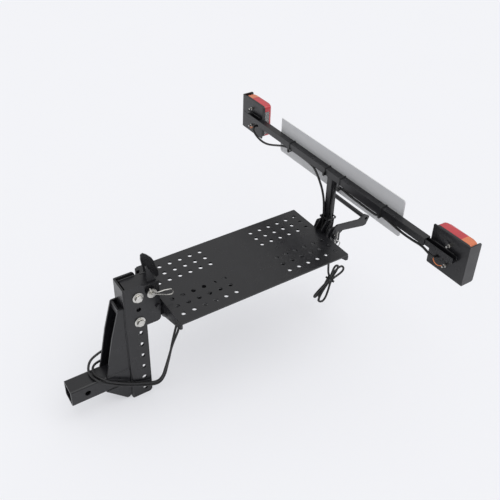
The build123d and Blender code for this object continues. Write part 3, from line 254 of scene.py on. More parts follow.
def ramp(tree, factor, start, end, low, high):
    """Factor between a start and an end, stretched from low to high."""
    reach = add_node(tree, "ShaderNodeMapRange", {"From Min": start, "From Max": end, "To Min": low,
                                                  "To Max": high})
    tree.links.new(factor, reach.inputs["Value"])
    return reach.outputs["Result"]


def tinted(tree, factor, first, second):
    """Colour between two by a factor."""
    mix = add_node(tree, "ShaderNodeMix", data_type="RGBA")
    mix.inputs["A"].default_value = (*first, 1)
    mix.inputs["B"].default_value = (*second, 1)
    tree.links.new(factor, mix.inputs["Factor"])
    return mix.outputs["Result"]


def shade(colour, amount):
    """Colour made lighter or darker."""
    return tuple(min(1.0, part * amount) for part in colour)


def finish(name, colour, rough, mottle, grain, relief, vary=0.12, stretch=(1, 1, 1), **values):
    """Procedural finish: mottled colour and roughness at large scales, relief in metres at a fine one."""
    known = bpy.data.materials.get(name)
    if known:
        return known
    material = bpy.data.materials.new(name)
    material.use_nodes = True
    tree = material.node_tree
    shader = tree.nodes["Principled BSDF"]
    cloud = ramp(tree, speckle(tree, mottle, 4.0, stretch), *NOISE_MIDDLE, 0, 1)
    tree.links.new(tinted(tree, cloud, shade(colour, 1 - vary), shade(colour, 1 + vary)),
                   shader.inputs["Base Color"])
    patches = speckle(tree, mottle * PATCH_SCALE, 3.0, stretch)
    tree.links.new(ramp(tree, patches, *NOISE_MIDDLE, *rough), shader.inputs["Roughness"])
    bump = add_node(tree, "ShaderNodeBump", {"Strength": BUMP_STRENGTH, "Distance": relief})
    tree.links.new(speckle(tree, grain, 2.0, stretch), bump.inputs["Height"])
    tree.links.new(bump.outputs["Normal"], shader.inputs["Normal"])
    for key, value in values.items():
        shader.inputs[key.replace("_", " ")].default_value = value
    return material


def powder_coat():
    """Satin black powder coat with a fine orange peel."""
    return finish("black_powder_coat", finishes().powder, rough=(0.26, 0.36), mottle=18, grain=900,
                  relief=0.00003, IOR=1.5)


def zinc_plate():
    """Bright zinc with faint patches."""
    return finish("zinc_plate", finishes().zinc, rough=(0.20, 0.36), mottle=60, grain=1400, relief=0.00002,
                  Metallic=1.0)


def dipped_pin():
    """Zinc on the hinge pin's shank, and the powder coat's black on its bent end."""
    material = finish("dipped_hinge_pin", finishes().zinc, rough=(0.20, 0.36), mottle=60, grain=1400,
                      relief=0.00002)
    tree = material.node_tree
    shader = tree.nodes["Principled BSDF"]
    place = add_node(tree, "ShaderNodeTexCoord")
    parts = add_node(tree, "ShaderNodeSeparateXYZ")
    tree.links.new(place.outputs["Object"], parts.inputs["Vector"])
    bare = ramp(tree, parts.outputs["Y"], DIP_EDGE, DIP_EDGE + DIP_FADE, 1, 0)
    coated = tinted(tree, bare, finishes().powder, finishes().zinc)
    tree.links.new(shader.inputs["Base Color"].links[0].from_socket, coated.node.inputs["B"])
    tree.links.new(coated, shader.inputs["Base Color"])
    tree.links.new(bare, shader.inputs["Metallic"])
    return material


def panel_sheet():
    """Matt grey panel with a faint grain along it."""
    return finish("grey_panel_sheet", finishes().sheet, rough=(0.42, 0.55), mottle=30, grain=500,
                  relief=0.00001, vary=0.03, stretch=(1, 0.12, 1))


def moulded_plastic():
    """Black moulded plastic."""
    return finish("moulded_black_plastic", finishes().moulded, rough=(0.36, 0.48), mottle=90, grain=2200,
                  relief=0.00002)


def tie_nylon():
    """Black nylon of the cable ties."""
    return finish("tie_nylon", finishes().moulded, rough=(0.28, 0.40), mottle=200, grain=1800,
                  relief=0.00001)


def cable_jacket():
    """Soft black jacket of the cables."""
    return finish("cable_jacket", finishes().rubber, rough=(0.38, 0.52), mottle=150, grain=1600,
                  relief=0.00002)


def red_plastic():
    """Deep red lens."""
    return finish("red_lens_plastic", finishes().red, rough=(0.10, 0.18), mottle=40, grain=600,
                  relief=0.00001, vary=0.10, IOR=1.49, Coat_Weight=0.4)


def amber_plastic():
    """Amber lens."""
    return finish("amber_lens_plastic", finishes().amber, rough=(0.10, 0.18), mottle=40, grain=600,
                  relief=0.00001, vary=0.08, IOR=1.49, Coat_Weight=0.4)


def clear_plastic():
    """Clear window of the lamps."""
    return finish("clear_window_plastic", (0.92, 0.93, 0.94), rough=(0.05, 0.12), mottle=60, grain=500,
                  relief=0.00001, vary=0.03, IOR=1.49, Transmission_Weight=0.85)


def bulb_glass():
    """Glass of the bulbs."""
    return finish("bulb_glass", (0.95, 0.93, 0.86), rough=(0.03, 0.08), mottle=80, grain=900,
                  relief=0.000005, vary=0.02, IOR=1.45, Transmission_Weight=0.6)


def bare_wire():
    """Grey insulation of the cable's own wires."""
    return finish("grey_wire", (0.33, 0.33, 0.34), rough=(0.40, 0.55), mottle=300, grain=2000,
                  relief=0.00001)


def orange_wire():
    """Orange insulation of the lamps' ground wires."""
    return finish("orange_wire", (0.72, 0.22, 0.07), rough=(0.36, 0.48), mottle=200, grain=1500,
                  relief=0.00001)


def contact_brass():
    """Brass contacts of the plug."""
    return finish("contact_brass", (0.72, 0.52, 0.24), rough=(0.22, 0.34), mottle=200, grain=1500,
                  relief=0.00001, Metallic=1.0)


def pale_floor():
    """Pale floor whose soft shadow is thinned for the camera alone."""
    own = bpy.context.scene.carrier_stage
    material = finish("pale_floor", own.floor, rough=(0.85, 0.95), mottle=2, grain=30, relief=0.00001,
                      vary=0.004, Specular_IOR_Level=0.1)
    tree = material.node_tree
    seen = add_node(tree, "ShaderNodeLightPath")
    share = add_node(tree, "ShaderNodeMath", {1: own.thin}, operation="MULTIPLY")
    even = add_node(tree, "ShaderNodeEmission", {"Color": (*own.backdrop, 1)})
    mix = add_node(tree, "ShaderNodeMixShader")
    tree.links.new(seen.outputs["Is Camera Ray"], share.inputs[0])
    tree.links.new(share.outputs["Value"], mix.inputs["Fac"])
    tree.links.new(tree.nodes["Principled BSDF"].outputs["BSDF"], mix.inputs[1])
    tree.links.new(even.outputs["Emission"], mix.inputs[2])
    tree.links.new(mix.outputs["Shader"], tree.nodes["Material Output"].inputs["Surface"])
    return material


# Modelling helpers

# Least share of a direction that counts as all of it
NEARLY = 0.9
# A hexagon's reach to its flats as a share of that to its corners
FLAT_SHARE = 0.866


def nothing_selected():
    """Object mode with nothing selected."""
    active = bpy.context.view_layer.objects.active
    if active and active.mode != "OBJECT":
        bpy.ops.object.mode_set(mode="OBJECT")
    bpy.ops.object.select_all(action="DESELECT")


def only(piece):
    """Selects one piece alone."""
    nothing_selected()
    piece.select_set(True)
    bpy.context.view_layer.objects.active = piece
    return piece


def edit(piece, kind, test):
    """Edit mode with the faces or the edges selected that pass a test."""
    only(piece)
    bpy.ops.object.mode_set(mode="EDIT")
    bpy.ops.mesh.select_mode(type=kind)
    mesh = bmesh.from_edit_mesh(piece.data)
    for part in mesh.faces if kind == "FACE" else mesh.edges:
        part.select_set(test(part))
    mesh.select_flush_mode()
    bmesh.update_edit_mesh(piece.data)


def done_editing():
    """Back to object mode."""
    bpy.ops.object.mode_set(mode="OBJECT")


def bevelled(piece, kind, test, offset, segments=2):
    """Bevels the edges that a test picks, or those of the faces that it picks."""
    edit(piece, kind, test)
    bpy.ops.mesh.bevel(offset=offset, segments=segments)
    done_editing()


def recessed(piece, rim, depth):
    """Sinks the upper end of a round piece inside a rim."""
    edit(piece, "FACE", lambda face: face.normal.z > NEARLY and len(face.verts) > 8)
    bpy.ops.mesh.inset(thickness=rim)
    bpy.ops.mesh.extrude_region_move(TRANSFORM_OT_translate={"value": (0, 0, -depth)})
    done_editing()


def runs_along(edge, axis):
    """Whether an edge runs along X, Y or Z, as 0, 1 or 2."""
    return abs((edge.verts[0].co - edge.verts[1].co).normalized()[axis]) > NEARLY


def added(name, data, spot=(0, 0, 0), turn=(0, 0, 0)):
    """New object in the scene, with its turn in degrees."""
    thing = bpy.data.objects.new(name, data)
    thing.location = spot
    thing.rotation_euler = [math.radians(part) for part in turn]
    bpy.context.scene.collection.objects.link(thing)
    return thing


def placed(piece, at, axis=(0, 0, 1), spin=0.0):
    """Turns a piece's own Z to an axis and moves it, then leaves the place in its mesh."""
    turn = Vector((0, 0, 1)).rotation_difference(Vector(axis)).to_matrix().to_4x4()
    piece.matrix_world = Matrix.Translation(at) @ turn @ Matrix.Rotation(spin, 4, "Z")
    only(piece)
    bpy.ops.object.transform_apply()
    return piece


def joined(pieces):
    """One piece out of several."""
    nothing_selected()
    for piece in pieces:
        piece.select_set(True)
    bpy.context.view_layer.objects.active = pieces[0]
    bpy.ops.object.join()
    return bpy.context.view_layer.objects.active


def named(piece, name, material):
    """Names a finished piece and gives it its finish."""
    piece.name = name
    piece.data.name = name
    piece.data.materials.append(material)
    return piece


def smooth(piece, degrees=35):
    """Smooth shading up to an angle."""
    only(piece)
    bpy.ops.object.shade_smooth_by_angle(angle=math.radians(degrees))
    return piece


def block(low, high, round_edges=0.0, segments=2):
    """Box between two corners with all its edges rounded."""
    low, high = Vector(low), Vector(high)
    nothing_selected()
    bpy.ops.mesh.primitive_cube_add(size=1, location=(low + high) / 2)
    piece = bpy.context.object
    piece.scale = high - low
    bpy.ops.object.transform_apply()
    if round_edges:
        bevelled(piece, "EDGE", lambda edge: True, round_edges, segments)
    return piece


def rod(radius, length, sides=24, round_ends=0.0):
    """Round or hexagonal rod along Z from the origin, with its ends rounded."""
    nothing_selected()
    bpy.ops.mesh.primitive_cylinder_add(vertices=sides, radius=radius, depth=length,
                                        location=(0, 0, length / 2))
    piece = bpy.context.object
    bpy.ops.object.transform_apply()
    if round_ends:
        bevelled(piece, "FACE", lambda face: abs(face.normal.z) > NEARLY, round_ends)
    return piece


def ring(radius, hole, length, sides, round_ends=0.0):
    """Rod with a hole right through it."""
    piece = rod(radius, length, sides, round_ends)
    for end in (-1, 1):
        edit(piece, "FACE", lambda face: face.normal.z * end > NEARLY and len(face.verts) > 4)
        bpy.ops.mesh.inset(thickness=radius * (1 if sides > 6 else FLAT_SHARE) - hole - round_ends)
        done_editing()
    edit(piece, "FACE", lambda face: abs(face.normal.z) > NEARLY and len(face.verts) == sides)
    bpy.ops.mesh.bridge_edge_loops()
    done_editing()
    return piece


def repeated(piece, step, count, merge=0.0):
    """Copies of a piece in a row a step apart, merged where they meet if a distance says so."""
    row = piece.modifiers.new("row", "ARRAY")
    row.count = count
    row.use_relative_offset = False
    row.use_constant_offset = True
    row.constant_offset_displace = step
    row.use_merge_vertices = merge > 0
    row.merge_threshold = merge
    only(piece)
    bpy.ops.object.modifier_apply(modifier="row")
    return piece


def ribbed_rod(radius, swell, step, count, sides=8):
    """Rod along Z whose surface swells once in each step: a weld bead or a thread."""
    nothing_selected()
    bpy.ops.mesh.primitive_circle_add(vertices=sides, radius=radius)
    piece = bpy.context.object
    bpy.ops.object.mode_set(mode="EDIT")
    for factor in (swell, 1 / swell):
        bpy.ops.mesh.extrude_region_move(TRANSFORM_OT_translate={"value": (0, 0, step / 2)})
        bpy.ops.transform.resize(value=(factor, factor, 1))
    done_editing()
    repeated(piece, (0, 0, step), count, step / 50)
    edit(piece, "EDGE", lambda edge: edge.is_boundary)
    bpy.ops.mesh.fill_holes(sides=0)
    bpy.ops.mesh.select_all(action="SELECT")
    bpy.ops.mesh.normals_make_consistent()
    done_editing()
    return piece


# Steel of the frame

def soften(node):
    """Merges a node's loose triangles and rounds its cut edges a little."""
    node.modifiers.new("merged", "WELD").merge_threshold = 0.00001
    flat = node.modifiers.new("flat", "DECIMATE")
    flat.decimate_type = "DISSOLVE"
    flat.angle_limit = math.radians(0.5)
    edge = node.modifiers.new("edges", "BEVEL")
    edge.width = sizes().edge
    edge.segments = 2
    edge.limit_method = "ANGLE"
    edge.angle_limit = math.radians(40)


def pairs(names):
    """Left and right node of each name."""
    return [f"{name}_{word}" for name in names for word in SIDES]


def coat(names, material, rounded=False):
    """Gives nodes of the frame their finish."""
    for name in names:
        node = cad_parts[name]
        for spot in node.material_slots:
            spot.material = material
        if rounded:
            soften(node)


class CARRIER_OT_steel(bpy.types.Operator):
    """Powder coat on the hitch tube, post, platform, mast and handle, and zinc on pins and clips"""
    bl_idname = "carrier.steel"
    bl_label = "Coat the steel"

    def execute(self, context):
        coat(BLACK_STEEL + pairs(BLACK_PAIRS), powder_coat(), True)
        coat(BLACK_PINS, powder_coat())
        coat(ZINC_STEEL + pairs(ZINC_PAIRS), zinc_plate())
        coat(["hinge_pin"], dipped_pin())
        coat(["number_plate_panel"], panel_sheet(), True)
        coat(["cable_clips", *pairs(["lamp_base"])], moulded_plastic())
        coat(["wire_ends"], bare_wire())
        return {"FINISHED"}


# Weld beads, each along a seam between two points in metres

def along(y, z, start, end):
    """Seam along X."""
    return (start, y, z), (end, y, z)


def across(x, z, start, end):
    """Seam along Y."""
    return (x, start, z), (x, end, z)


def upright(x, y, start, end):
    """Seam along Z."""
    return (x, y, start), (x, y, end)


def base_seams():
    """Seams of the hitch tube, the brace plates, the gussets and the head bracket."""
    half, inset, post, head = 0.025, 0.02475, 0.118, 0.281
    brace_foot, gusset_foot, foot_end, brace_top, gusset_low = 0.056, 0.050, 0.116, 0.230, -0.074
    head_side, head_back, head_front = 0.0235, 0.1735, 0.128
    seams = []
    for side in (-1, 1):
        seams += [along(side * inset, half, brace_foot, foot_end),
                  along(side * inset, -half, gusset_foot, foot_end),
                  upright(post, side * half, half, brace_top), upright(post, side * half, -half, gusset_low),
                  along(side * head_side, head, head_back, head_front)]
    corner = 0.020
    fin, rib = along(0.0205, head, 0.186, 0.216), along(-0.0155, head, 0.188, 0.211)
    return seams + [across(post, z, -corner, corner) for z in (half, -half)] + [fin, rib]


def platform_seams():
    """Stitches under the deck and the seams at the ends of the beam and the rear bracket."""
    beam, deck, low, first, stitch, pitch = 0.025, 0.209, 0.162, 0.260, 0.040, 0.130
    rear, rear_half, front, front_half = 0.745, 0.0295, 0.221, 0.0175
    seams = []
    for side in (-1, 1):
        starts = [first + pitch * k for k in range(4)]
        seams += [along(side * beam, deck, start, start + stitch) for start in starts]
        seams += [upright(rear, side * rear_half, 0.172, 0.205)]
        seams += [upright(front, side * front_half, low, 0.210)]
        seams += [upright(end, side * beam, low, 0.207) for end in (0.227, 0.739)]
    return seams


def mast_seams():
    """Seams of the mast at the light bar and at its foot."""
    edge, front, back, low, high = 0.0102, 0.7612, 0.7808, 0.222, 0.252
    seams = []
    for side in (-1, 1):
        seams += [along(side * edge, BAR_BOTTOM, front, back), upright(front, side * edge, low, high),
                  along(side * edge, high + 0.002, front + 0.0018, back - 0.0018)]
    return seams


def lamp_seams(side):
    """Two seams between a lamp's holder and its bracket."""
    face, start, end = 0.7785, 0.372, 0.432
    return [across(face, z, side * start, side * end) for z in (0.3905, 0.4055)]


def weld_bead(start, end):
    """Rippled bead between two points."""
    start, end = Vector(start), Vector(end)
    radius, ripple, swell, slim = sizes().weld, 1.1, 1.2, 0.82
    count = max(2, round((end - start).length / (radius * ripple)))
    bead = ribbed_rod(radius * slim, swell, (end - start).length / count, count)
    return placed(bead, start, end - start)


class CARRIER_OT_welds(bpy.types.Operator):
    """Weld beads along the seams of the steel"""
    bl_idname = "carrier.welds"
    bl_label = "Lay the weld beads"

    def execute(self, context):
        seams = {"base": base_seams(), "platform": platform_seams(), "light_mast": mast_seams()}
        for word, side in SIDES.items():
            seams[f"lamp_{word}"] = lamp_seams(side)
        for body, runs in seams.items():
            piece = joined([weld_bead(start, end) for start, end in runs])
            named(smooth(piece, 60), f"weld_beads_{body}", powder_coat())
            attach(piece, body)
        return {"FINISHED"}


# Bolts, nuts and washers

HEX_CHAMFER, WASHER_EDGE = 0.0011, 0.0004
THREAD_PITCH, THREAD_TURNS, THREAD_SWELL = 0.00125, 4, 1.07


def hexagon(across, length, rounded):
    """Hexagonal head with its outer end chamfered."""
    piece = rod(across / math.sqrt(3), length, 6)
    bevelled(piece, "FACE", lambda face: face.normal.z > NEARLY, rounded)
    return piece


class CARRIER_OT_fasteners(bpy.types.Operator):
    """Two height bolts with their nuts and large washers"""
    bl_idname = "carrier.fasteners"
    bl_label = "Fit the height bolts"

    def execute(self, context):
        own = sizes()
        face = POST_HALF + WASHER_THICK
        bolts, nuts, washers = [], [], []
        for height in BOLT_HEIGHTS:
            head = hexagon(own.bolt_across, HEAD_THICK, HEX_CHAMFER)
            bolts.append(placed(head, (BOLT_X, -face, height), (0, -1, 0), math.radians(30)))
            shank = rod(own.bolt_radius, 2 * face + NUT_THICK * 0.8)
            bolts.append(placed(shank, (BOLT_X, -face, height), (0, 1, 0)))
            thread = ribbed_rod(own.bolt_radius * 0.93, THREAD_SWELL, THREAD_PITCH, THREAD_TURNS, 24)
            start = face + NUT_THICK + BOLT_END - THREAD_PITCH * THREAD_TURNS
            bolts.append(placed(thread, (BOLT_X, start, height), (0, 1, 0)))
            nut = ring(own.bolt_across / math.sqrt(3), own.bolt_radius, NUT_THICK, 6)
            nuts.append(placed(nut, (BOLT_X, face, height), (0, 1, 0), math.radians(30)))
            for y, way in ((-POST_HALF, -1), (POST_HALF, 1)):
                washer = ring(own.washer_radius, own.bolt_radius * 1.08, WASHER_THICK, 40, WASHER_EDGE)
                washers.append(placed(washer, (BOLT_X, y, height), (0, way, 0)))
        for name, parts in (("height_bolts", bolts), ("height_nuts", nuts), ("height_washers", washers)):
            piece = named(smooth(joined(parts)), f"{name}_detailed", zinc_plate())
            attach(piece, "base")
            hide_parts(name)
        return {"FINISHED"}


# Cables

def cable_line(points, radius):
    """Smooth round cable on a NURBS line."""
    data = bpy.data.curves.new("cable", "CURVE")
    data.dimensions = "3D"
    line = data.splines.new("NURBS")
    line.points.add(len(points) - 1)
    for spot, point in zip(line.points, points):
        spot.co = (*point, 1)
    line.order_u = 3
    line.use_endpoint_u = True
    line.resolution_u = 8
    data.bevel_depth = radius
    data.bevel_resolution = 3
    data.use_fill_caps = True
    return added("cable", data)


def line_points(piece):
    """Points along a cable's own line, and the line's length."""
    radius = piece.data.bevel_depth
    piece.data.bevel_depth = 0
    piece.data.use_fill_caps = False
    bpy.context.view_layer.update()
    seen = piece.evaluated_get(bpy.context.evaluated_depsgraph_get())
    mesh = bpy.data.meshes.new_from_object(seen)
    places = [vertex.co.copy() for vertex in mesh.vertices]
    bpy.data.meshes.remove(mesh)
    piece.data.bevel_depth = radius
    piece.data.use_fill_caps = True
    return places, sum((b - a).length for a, b in zip(places, places[1:]))


def as_mesh(piece):
    """Cable made a mesh."""
    only(piece)
    bpy.ops.object.convert(target="MESH")
    return bpy.context.object


class CARRIER_OT_cables(bpy.types.Operator):
    """Cables along the bar, the mast and the deck, the hanging front cable and the tied hank"""
    bl_idname = "carrier.cables"
    bl_label = "Run the cables"

    def execute(self, context):
        radius = sizes().cable / 2
        black = cable_jacket()
        for side, lead, run in (("left", LEFT_LAMP_LEAD, LEFT_MAST_CABLE),
                                ("right", RIGHT_LAMP_LEAD, RIGHT_MAST_CABLE)):
            piece = named(as_mesh(cable_line(lead, radius)), f"lamp_lead_{side}", black)
            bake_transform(piece)
            piece = named(as_mesh(cable_line(run, radius)), f"mast_cable_{side}", black)
            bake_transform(piece)
            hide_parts(f"lamp_cable_{side}")
        under = named(cable_line(UNDER_DECK_CABLE, radius), "under_deck_run", black)
        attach(under, "platform")
        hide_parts("under_deck_cable")
        front = cable_line(FRONT_CABLE, radius)
        path, length = line_points(front)
        front = named(as_mesh(front), "front_hanging_cable", black)
        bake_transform(front)
        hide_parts("front_cable", "plug_lead")
        hank = named(cable_line(REAR_HANK, radius), "rear_hanging_hank", black)
        length = line_points(hank)[1]
        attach(hank, "platform")
        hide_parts("rear_hank")
        return {"FINISHED"}


# Cable ties

BAND_CORNER = 1.6
HEAD_RIM = 0.0007


def band(low, high, width, thick, axis):
    """Closed flat band round a box, with rounded corners, its width along an axis."""
    centre = (Vector(low) + Vector(high)) / 2
    half = (Vector(high) - Vector(low)) / 2
    outer = Vector([thick + part if i != axis else width / 2 for i, part in enumerate(half)])
    piece = block(centre - outer, centre + outer)
    bevelled(piece, "EDGE", lambda edge: runs_along(edge, axis), thick * BAND_CORNER, 4)
    edit(piece, "FACE", lambda face: abs(face.normal[axis]) > NEARLY)
    bpy.ops.mesh.inset(thickness=thick)
    done_editing()
    edit(piece, "FACE", lambda face: abs(face.normal[axis]) > NEARLY and len(face.verts) > 4)
    bpy.ops.mesh.bridge_edge_loops()
    done_editing()
    return piece


def plate_tie(y, depth):
    """Tie round the bar, the panel and the cables, with its head at the bar's lower front edge."""
    own, gap, drop, deep = sizes(), 0.0003, 0.002, 0.6
    front, foot = MAST_X - MAST_HALF - gap, BAR_BOTTOM - depth
    strap = band((front, y, foot), (PANEL_BACK + gap, y, BAR_TOP + gap), own.tie_width, own.tie_thick, 1)
    x, top, half = front - own.tie_thick, foot + own.tie_head - drop, own.tie_head / 2
    head = block((x - own.tie_head * deep, y - half, foot - drop), (x, y + half, top), HEAD_RIM)
    tail_front, tail_back, sunk, rise = x - 0.0045, x - 0.0032, 0.001, 0.0055
    tail = block((tail_front, y - own.tie_width / 2, top - sunk),
                 (tail_back, y + own.tie_width / 2, top + rise), gap, 1)
    return [strap, head, tail]


def mast_tie():
    """Tie round the mast and its two cables."""
    own, gap, z = sizes(), 0.0006, MAST_TIE_HEIGHT
    low = (MAST_X - MAST_HALF - own.cable - 2 * gap, -MAST_HALF - own.cable - 5 * gap, z)
    high = (MAST_X + MAST_HALF + gap / 2, MAST_HALF + gap / 2, z)
    x, y, deep, half = low[0] - own.tie_thick, high[1] + own.tie_thick, 0.004, 0.003
    head = block((x - deep, y - own.tie_head, z - half), (x, y, z + half), HEAD_RIM)
    return [band(low, high, own.tie_width, own.tie_thick, 2), head]


def hank_tie():
    """Tie round the hank's waist."""
    own, gap = sizes(), 0.0004
    wide, deep = HANK_STEP + own.cable / 2 + gap, (HANK_STEP + own.cable) / 2 + gap
    strap = band((-wide, -deep, 0), (wide, deep, 0), own.tie_width, own.tie_thick, 2)
    middle, face, half, thick = wide - 0.002, -deep - own.tie_thick, own.tie_head / 2, 0.003
    head = block((middle - half, face - thick, -half), (middle + half, face, half), HEAD_RIM)
    return placed(joined([strap, head]), HANK_WAIST, (math.cos(HANK_SLANT), 0, math.sin(HANK_SLANT)))


class CARRIER_OT_ties(bpy.types.Operator):
    """Cable ties on the bar, the mast and the hank"""
    bl_idname = "carrier.ties"
    bl_label = "Pull the cable ties"

    def execute(self, context):
        parts = mast_tie()
        for y, depth in TIE_PLACES:
            parts += plate_tie(y, depth)
        piece = named(smooth(joined(parts)), "cable_tie_set", tie_nylon())
        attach(piece, "light_mast")
        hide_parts("cable_ties")
        piece = named(smooth(hank_tie()), "hank_band", tie_nylon())
        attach(piece, "platform")
        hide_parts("hank_tie")
        return {"FINISHED"}


# Plug

def plug_body():
    """Ribbed plug body along Z with a hollow mouth and a key ridge."""
    own = sizes()
    neck, gland, collar, rim, mouth = 0.020, 0.012, 0.004, 0.0025, 0.014
    sides, slim = 48, 0.955
    facet = 360 / sides
    piece = placed(rod(own.plug_radius * slim, own.plug_length - neck, sides, 0.0012), (0, 0, neck))
    edit(piece, "FACE", lambda face: abs(face.normal.z) < 0.2 and face.calc_center_median().z > neck + collar
         and round(math.degrees(math.atan2(face.normal.y, face.normal.x)) / facet - 0.5) % 2 == 0)
    rise = own.plug_radius * (1 - slim)
    bpy.ops.mesh.extrude_region_shrink_fatten(TRANSFORM_OT_shrink_fatten={"value": rise})
    done_editing()
    recessed(piece, rim, mouth)
    cone = placed(rod(own.plug_radius * 0.69, neck - gland + 0.0005, 32, 0.001), (0, 0, gland))
    nut_radius, sleeve_radius, edge = 0.0125, 0.0045, 0.0008
    nut = placed(hexagon(nut_radius, gland * 0.6, edge), (0, 0, gland * 0.4))
    sleeve = rod(sleeve_radius, gland * 0.5, round_ends=edge)
    key_half, key_start, key_end = 0.002, own.plug_length - 0.024, own.plug_length - 0.002
    key = block((-key_half, own.plug_radius * 0.90, key_start), (key_half, own.plug_radius * 0.995, key_end),
                edge / 2)
    return [piece, cone, nut, sleeve, key]


class CARRIER_OT_plug(bpy.types.Operator):
    """Round plug parked under the deck, with its contacts"""
    bl_idname = "carrier.plug"
    bl_label = "Park the plug"

    def execute(self, context):
        own = sizes()
        start, circle, depth = (PLUG_START, PLUG_Y, PLUG_Z), 0.0095, 0.0145
        radius, length = 0.0012, 0.010
        piece = placed(joined(plug_body()), start, (1, 0, 0))
        named(smooth(piece), "plug_detailed", moulded_plastic())
        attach(piece, "platform")
        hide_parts("plug")
        pins = []
        for k in range(own.plug_pins):
            turn = 2 * math.pi * k / (own.plug_pins - 1)
            reach = 0 if k == own.plug_pins - 1 else circle
            spot = (reach * math.cos(turn), reach * math.sin(turn), own.plug_length - depth)
            pins.append(placed(rod(radius, length, 12, radius / 3), spot))
        piece = placed(joined(pins), start, (1, 0, 0))
        named(smooth(piece), "plug_contacts", contact_brass())
        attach(piece, "platform")
        return {"FINISHED"}


# Tail lamps

# Steps of a lens's dome: how far each goes in from the sides, in from above and below, and how far it rises
DOME_STEPS = [(0.0030, 0.0006, 0.0040), (0.0090, 0.0008, 0.0033), (0.0130, 0.0016, 0.0021),
              (0.0060, 0.0030, 0.0014), (0.0040, 0.0050, 0.0007)]
LENS_FACE = LENS_BACK + LENS_SHOULDER + sum(rise for aside, down, rise in DOME_STEPS)
LENS_CORNER, LENS_WALL = 0.009, 0.0025
RIB_MARGIN_Y, RIB_MARGIN_Z, SCREW_BESIDE = 0.030, 0.0205, 0.006
RIB_SHARE, RIB_RISE, RIB_SUNK = 0.82, 0.0007, 0.0006
SCREW_RADIUS, SCREW_TALL, SCREW_SUNK, SCREW_RIM, SCREW_DEEP = 0.0032, 0.0014, 0.0004, 0.0011, 0.0006
WIRE_RADIUS = 0.0011


def lamp_span(side, start, end):
    """Lower and upper Y of two distances from a lamp's inner edge."""
    return sorted((side * (LAMP_INNER + start), side * (LAMP_INNER + end)))


def lens_ribs(span, z_low, z_high):
    """Upright half-round ribs over part of a lens face."""
    step = sizes().lens_rib
    count = max(1, int((span[1] - span[0]) / step))
    start, end = span[0], span[0] + step * RIB_SHARE
    first = block((LENS_FACE - RIB_SUNK, start, z_low), (LENS_FACE + RIB_RISE, end, z_high))
    bevelled(first, "EDGE", lambda edge: all(vertex.co.x > LENS_FACE for vertex in edge.verts), RIB_SUNK)
    return repeated(first, (0, step, 0), count)


def domed_body(side, shrink):
    """Closed body of the lens with a domed face, optionally smaller all round."""
    inner, outer = lamp_span(side, shrink, LAMP_SIZE - shrink)
    half = LAMP_SIZE / 2 - shrink
    shoulder = LENS_BACK + LENS_SHOULDER - shrink
    piece = block((LENS_BACK - shrink, inner, LAMP_Z - half), (shoulder, outer, LAMP_Z + half))
    bevelled(piece, "EDGE", lambda edge: runs_along(edge, 0), LENS_CORNER - shrink, 5)
    edit(piece, "FACE", lambda face: face.normal.x > NEARLY)
    wide = tall = half
    for aside, down, rise in DOME_STEPS:
        bpy.ops.mesh.extrude_region_move(TRANSFORM_OT_translate={"value": (rise, 0, 0)})
        bpy.ops.transform.resize(value=(1, (wide - aside) / wide, (tall - down) / tall))
        wide, tall = wide - aside, tall - down
    done_editing()
    return piece


def carve(piece, cutter):
    """Takes one body out of another."""
    cut = piece.modifiers.new("cut", "BOOLEAN")
    cut.operation = "DIFFERENCE"
    cut.solver = "EXACT"
    cut.object = cutter
    only(piece)
    bpy.ops.object.modifier_apply(modifier="cut")
    only(cutter)
    bpy.ops.object.delete()
    return piece


def lens_part(side, keep_outer):
    """Hollow lens on one side of the line between red and amber, with the notch of its clear window."""
    shell = carve(domed_body(side, 0), domed_body(side, LENS_WALL))
    past = 0.001
    low, high = lamp_span(side, -past, WINDOW_DEEP)
    shell = carve(shell, block((LENS_BACK - past, low, WINDOW_LOW),
                               (LENS_BACK + WINDOW_WIDE, high, WINDOW_LOW + WINDOW_TALL)))
    edit(shell, "FACE", lambda face: True)
    bpy.ops.mesh.bisect(plane_co=(0, side * (LAMP_INNER + LAMP_SIZE - AMBER_WIDE), 0),
                        plane_no=(0, side if keep_outer else -side, 0), use_fill=True, clear_inner=True)
    done_editing()
    return shell


def lens_screw(y, z):
    """Screw head with a round recess on the lens face."""
    head = rod(SCREW_RADIUS, SCREW_TALL, round_ends=0.0005)
    recessed(head, SCREW_RIM, SCREW_DEEP)
    return placed(head, (LENS_FACE - SCREW_SUNK, y, z), (1, 0, 0))


def ground_wire(side):
    """Wire that bows from a lamp's lead to its lower stud."""
    lead = Vector((LEFT_LAMP_LEAD if side > 0 else RIGHT_LAMP_LEAD)[1])
    beside, behind = 0.004, 0.0055
    stud = Vector((lead.x + behind, side * (LAMP_INNER + LAMP_SIZE * STUD_SHARE - beside), STUD_LOW))
    leaving, sag = Vector((-0.004, side * 0.003, -0.003)), Vector((-0.004, 0, -0.006))
    arriving = Vector((-0.004, -side * 0.004, -0.002))
    points = [lead, lead + leaving, (lead + stud) / 2 + sag, stud + arriving, stud]
    return as_mesh(cable_line(points, WIRE_RADIUS))


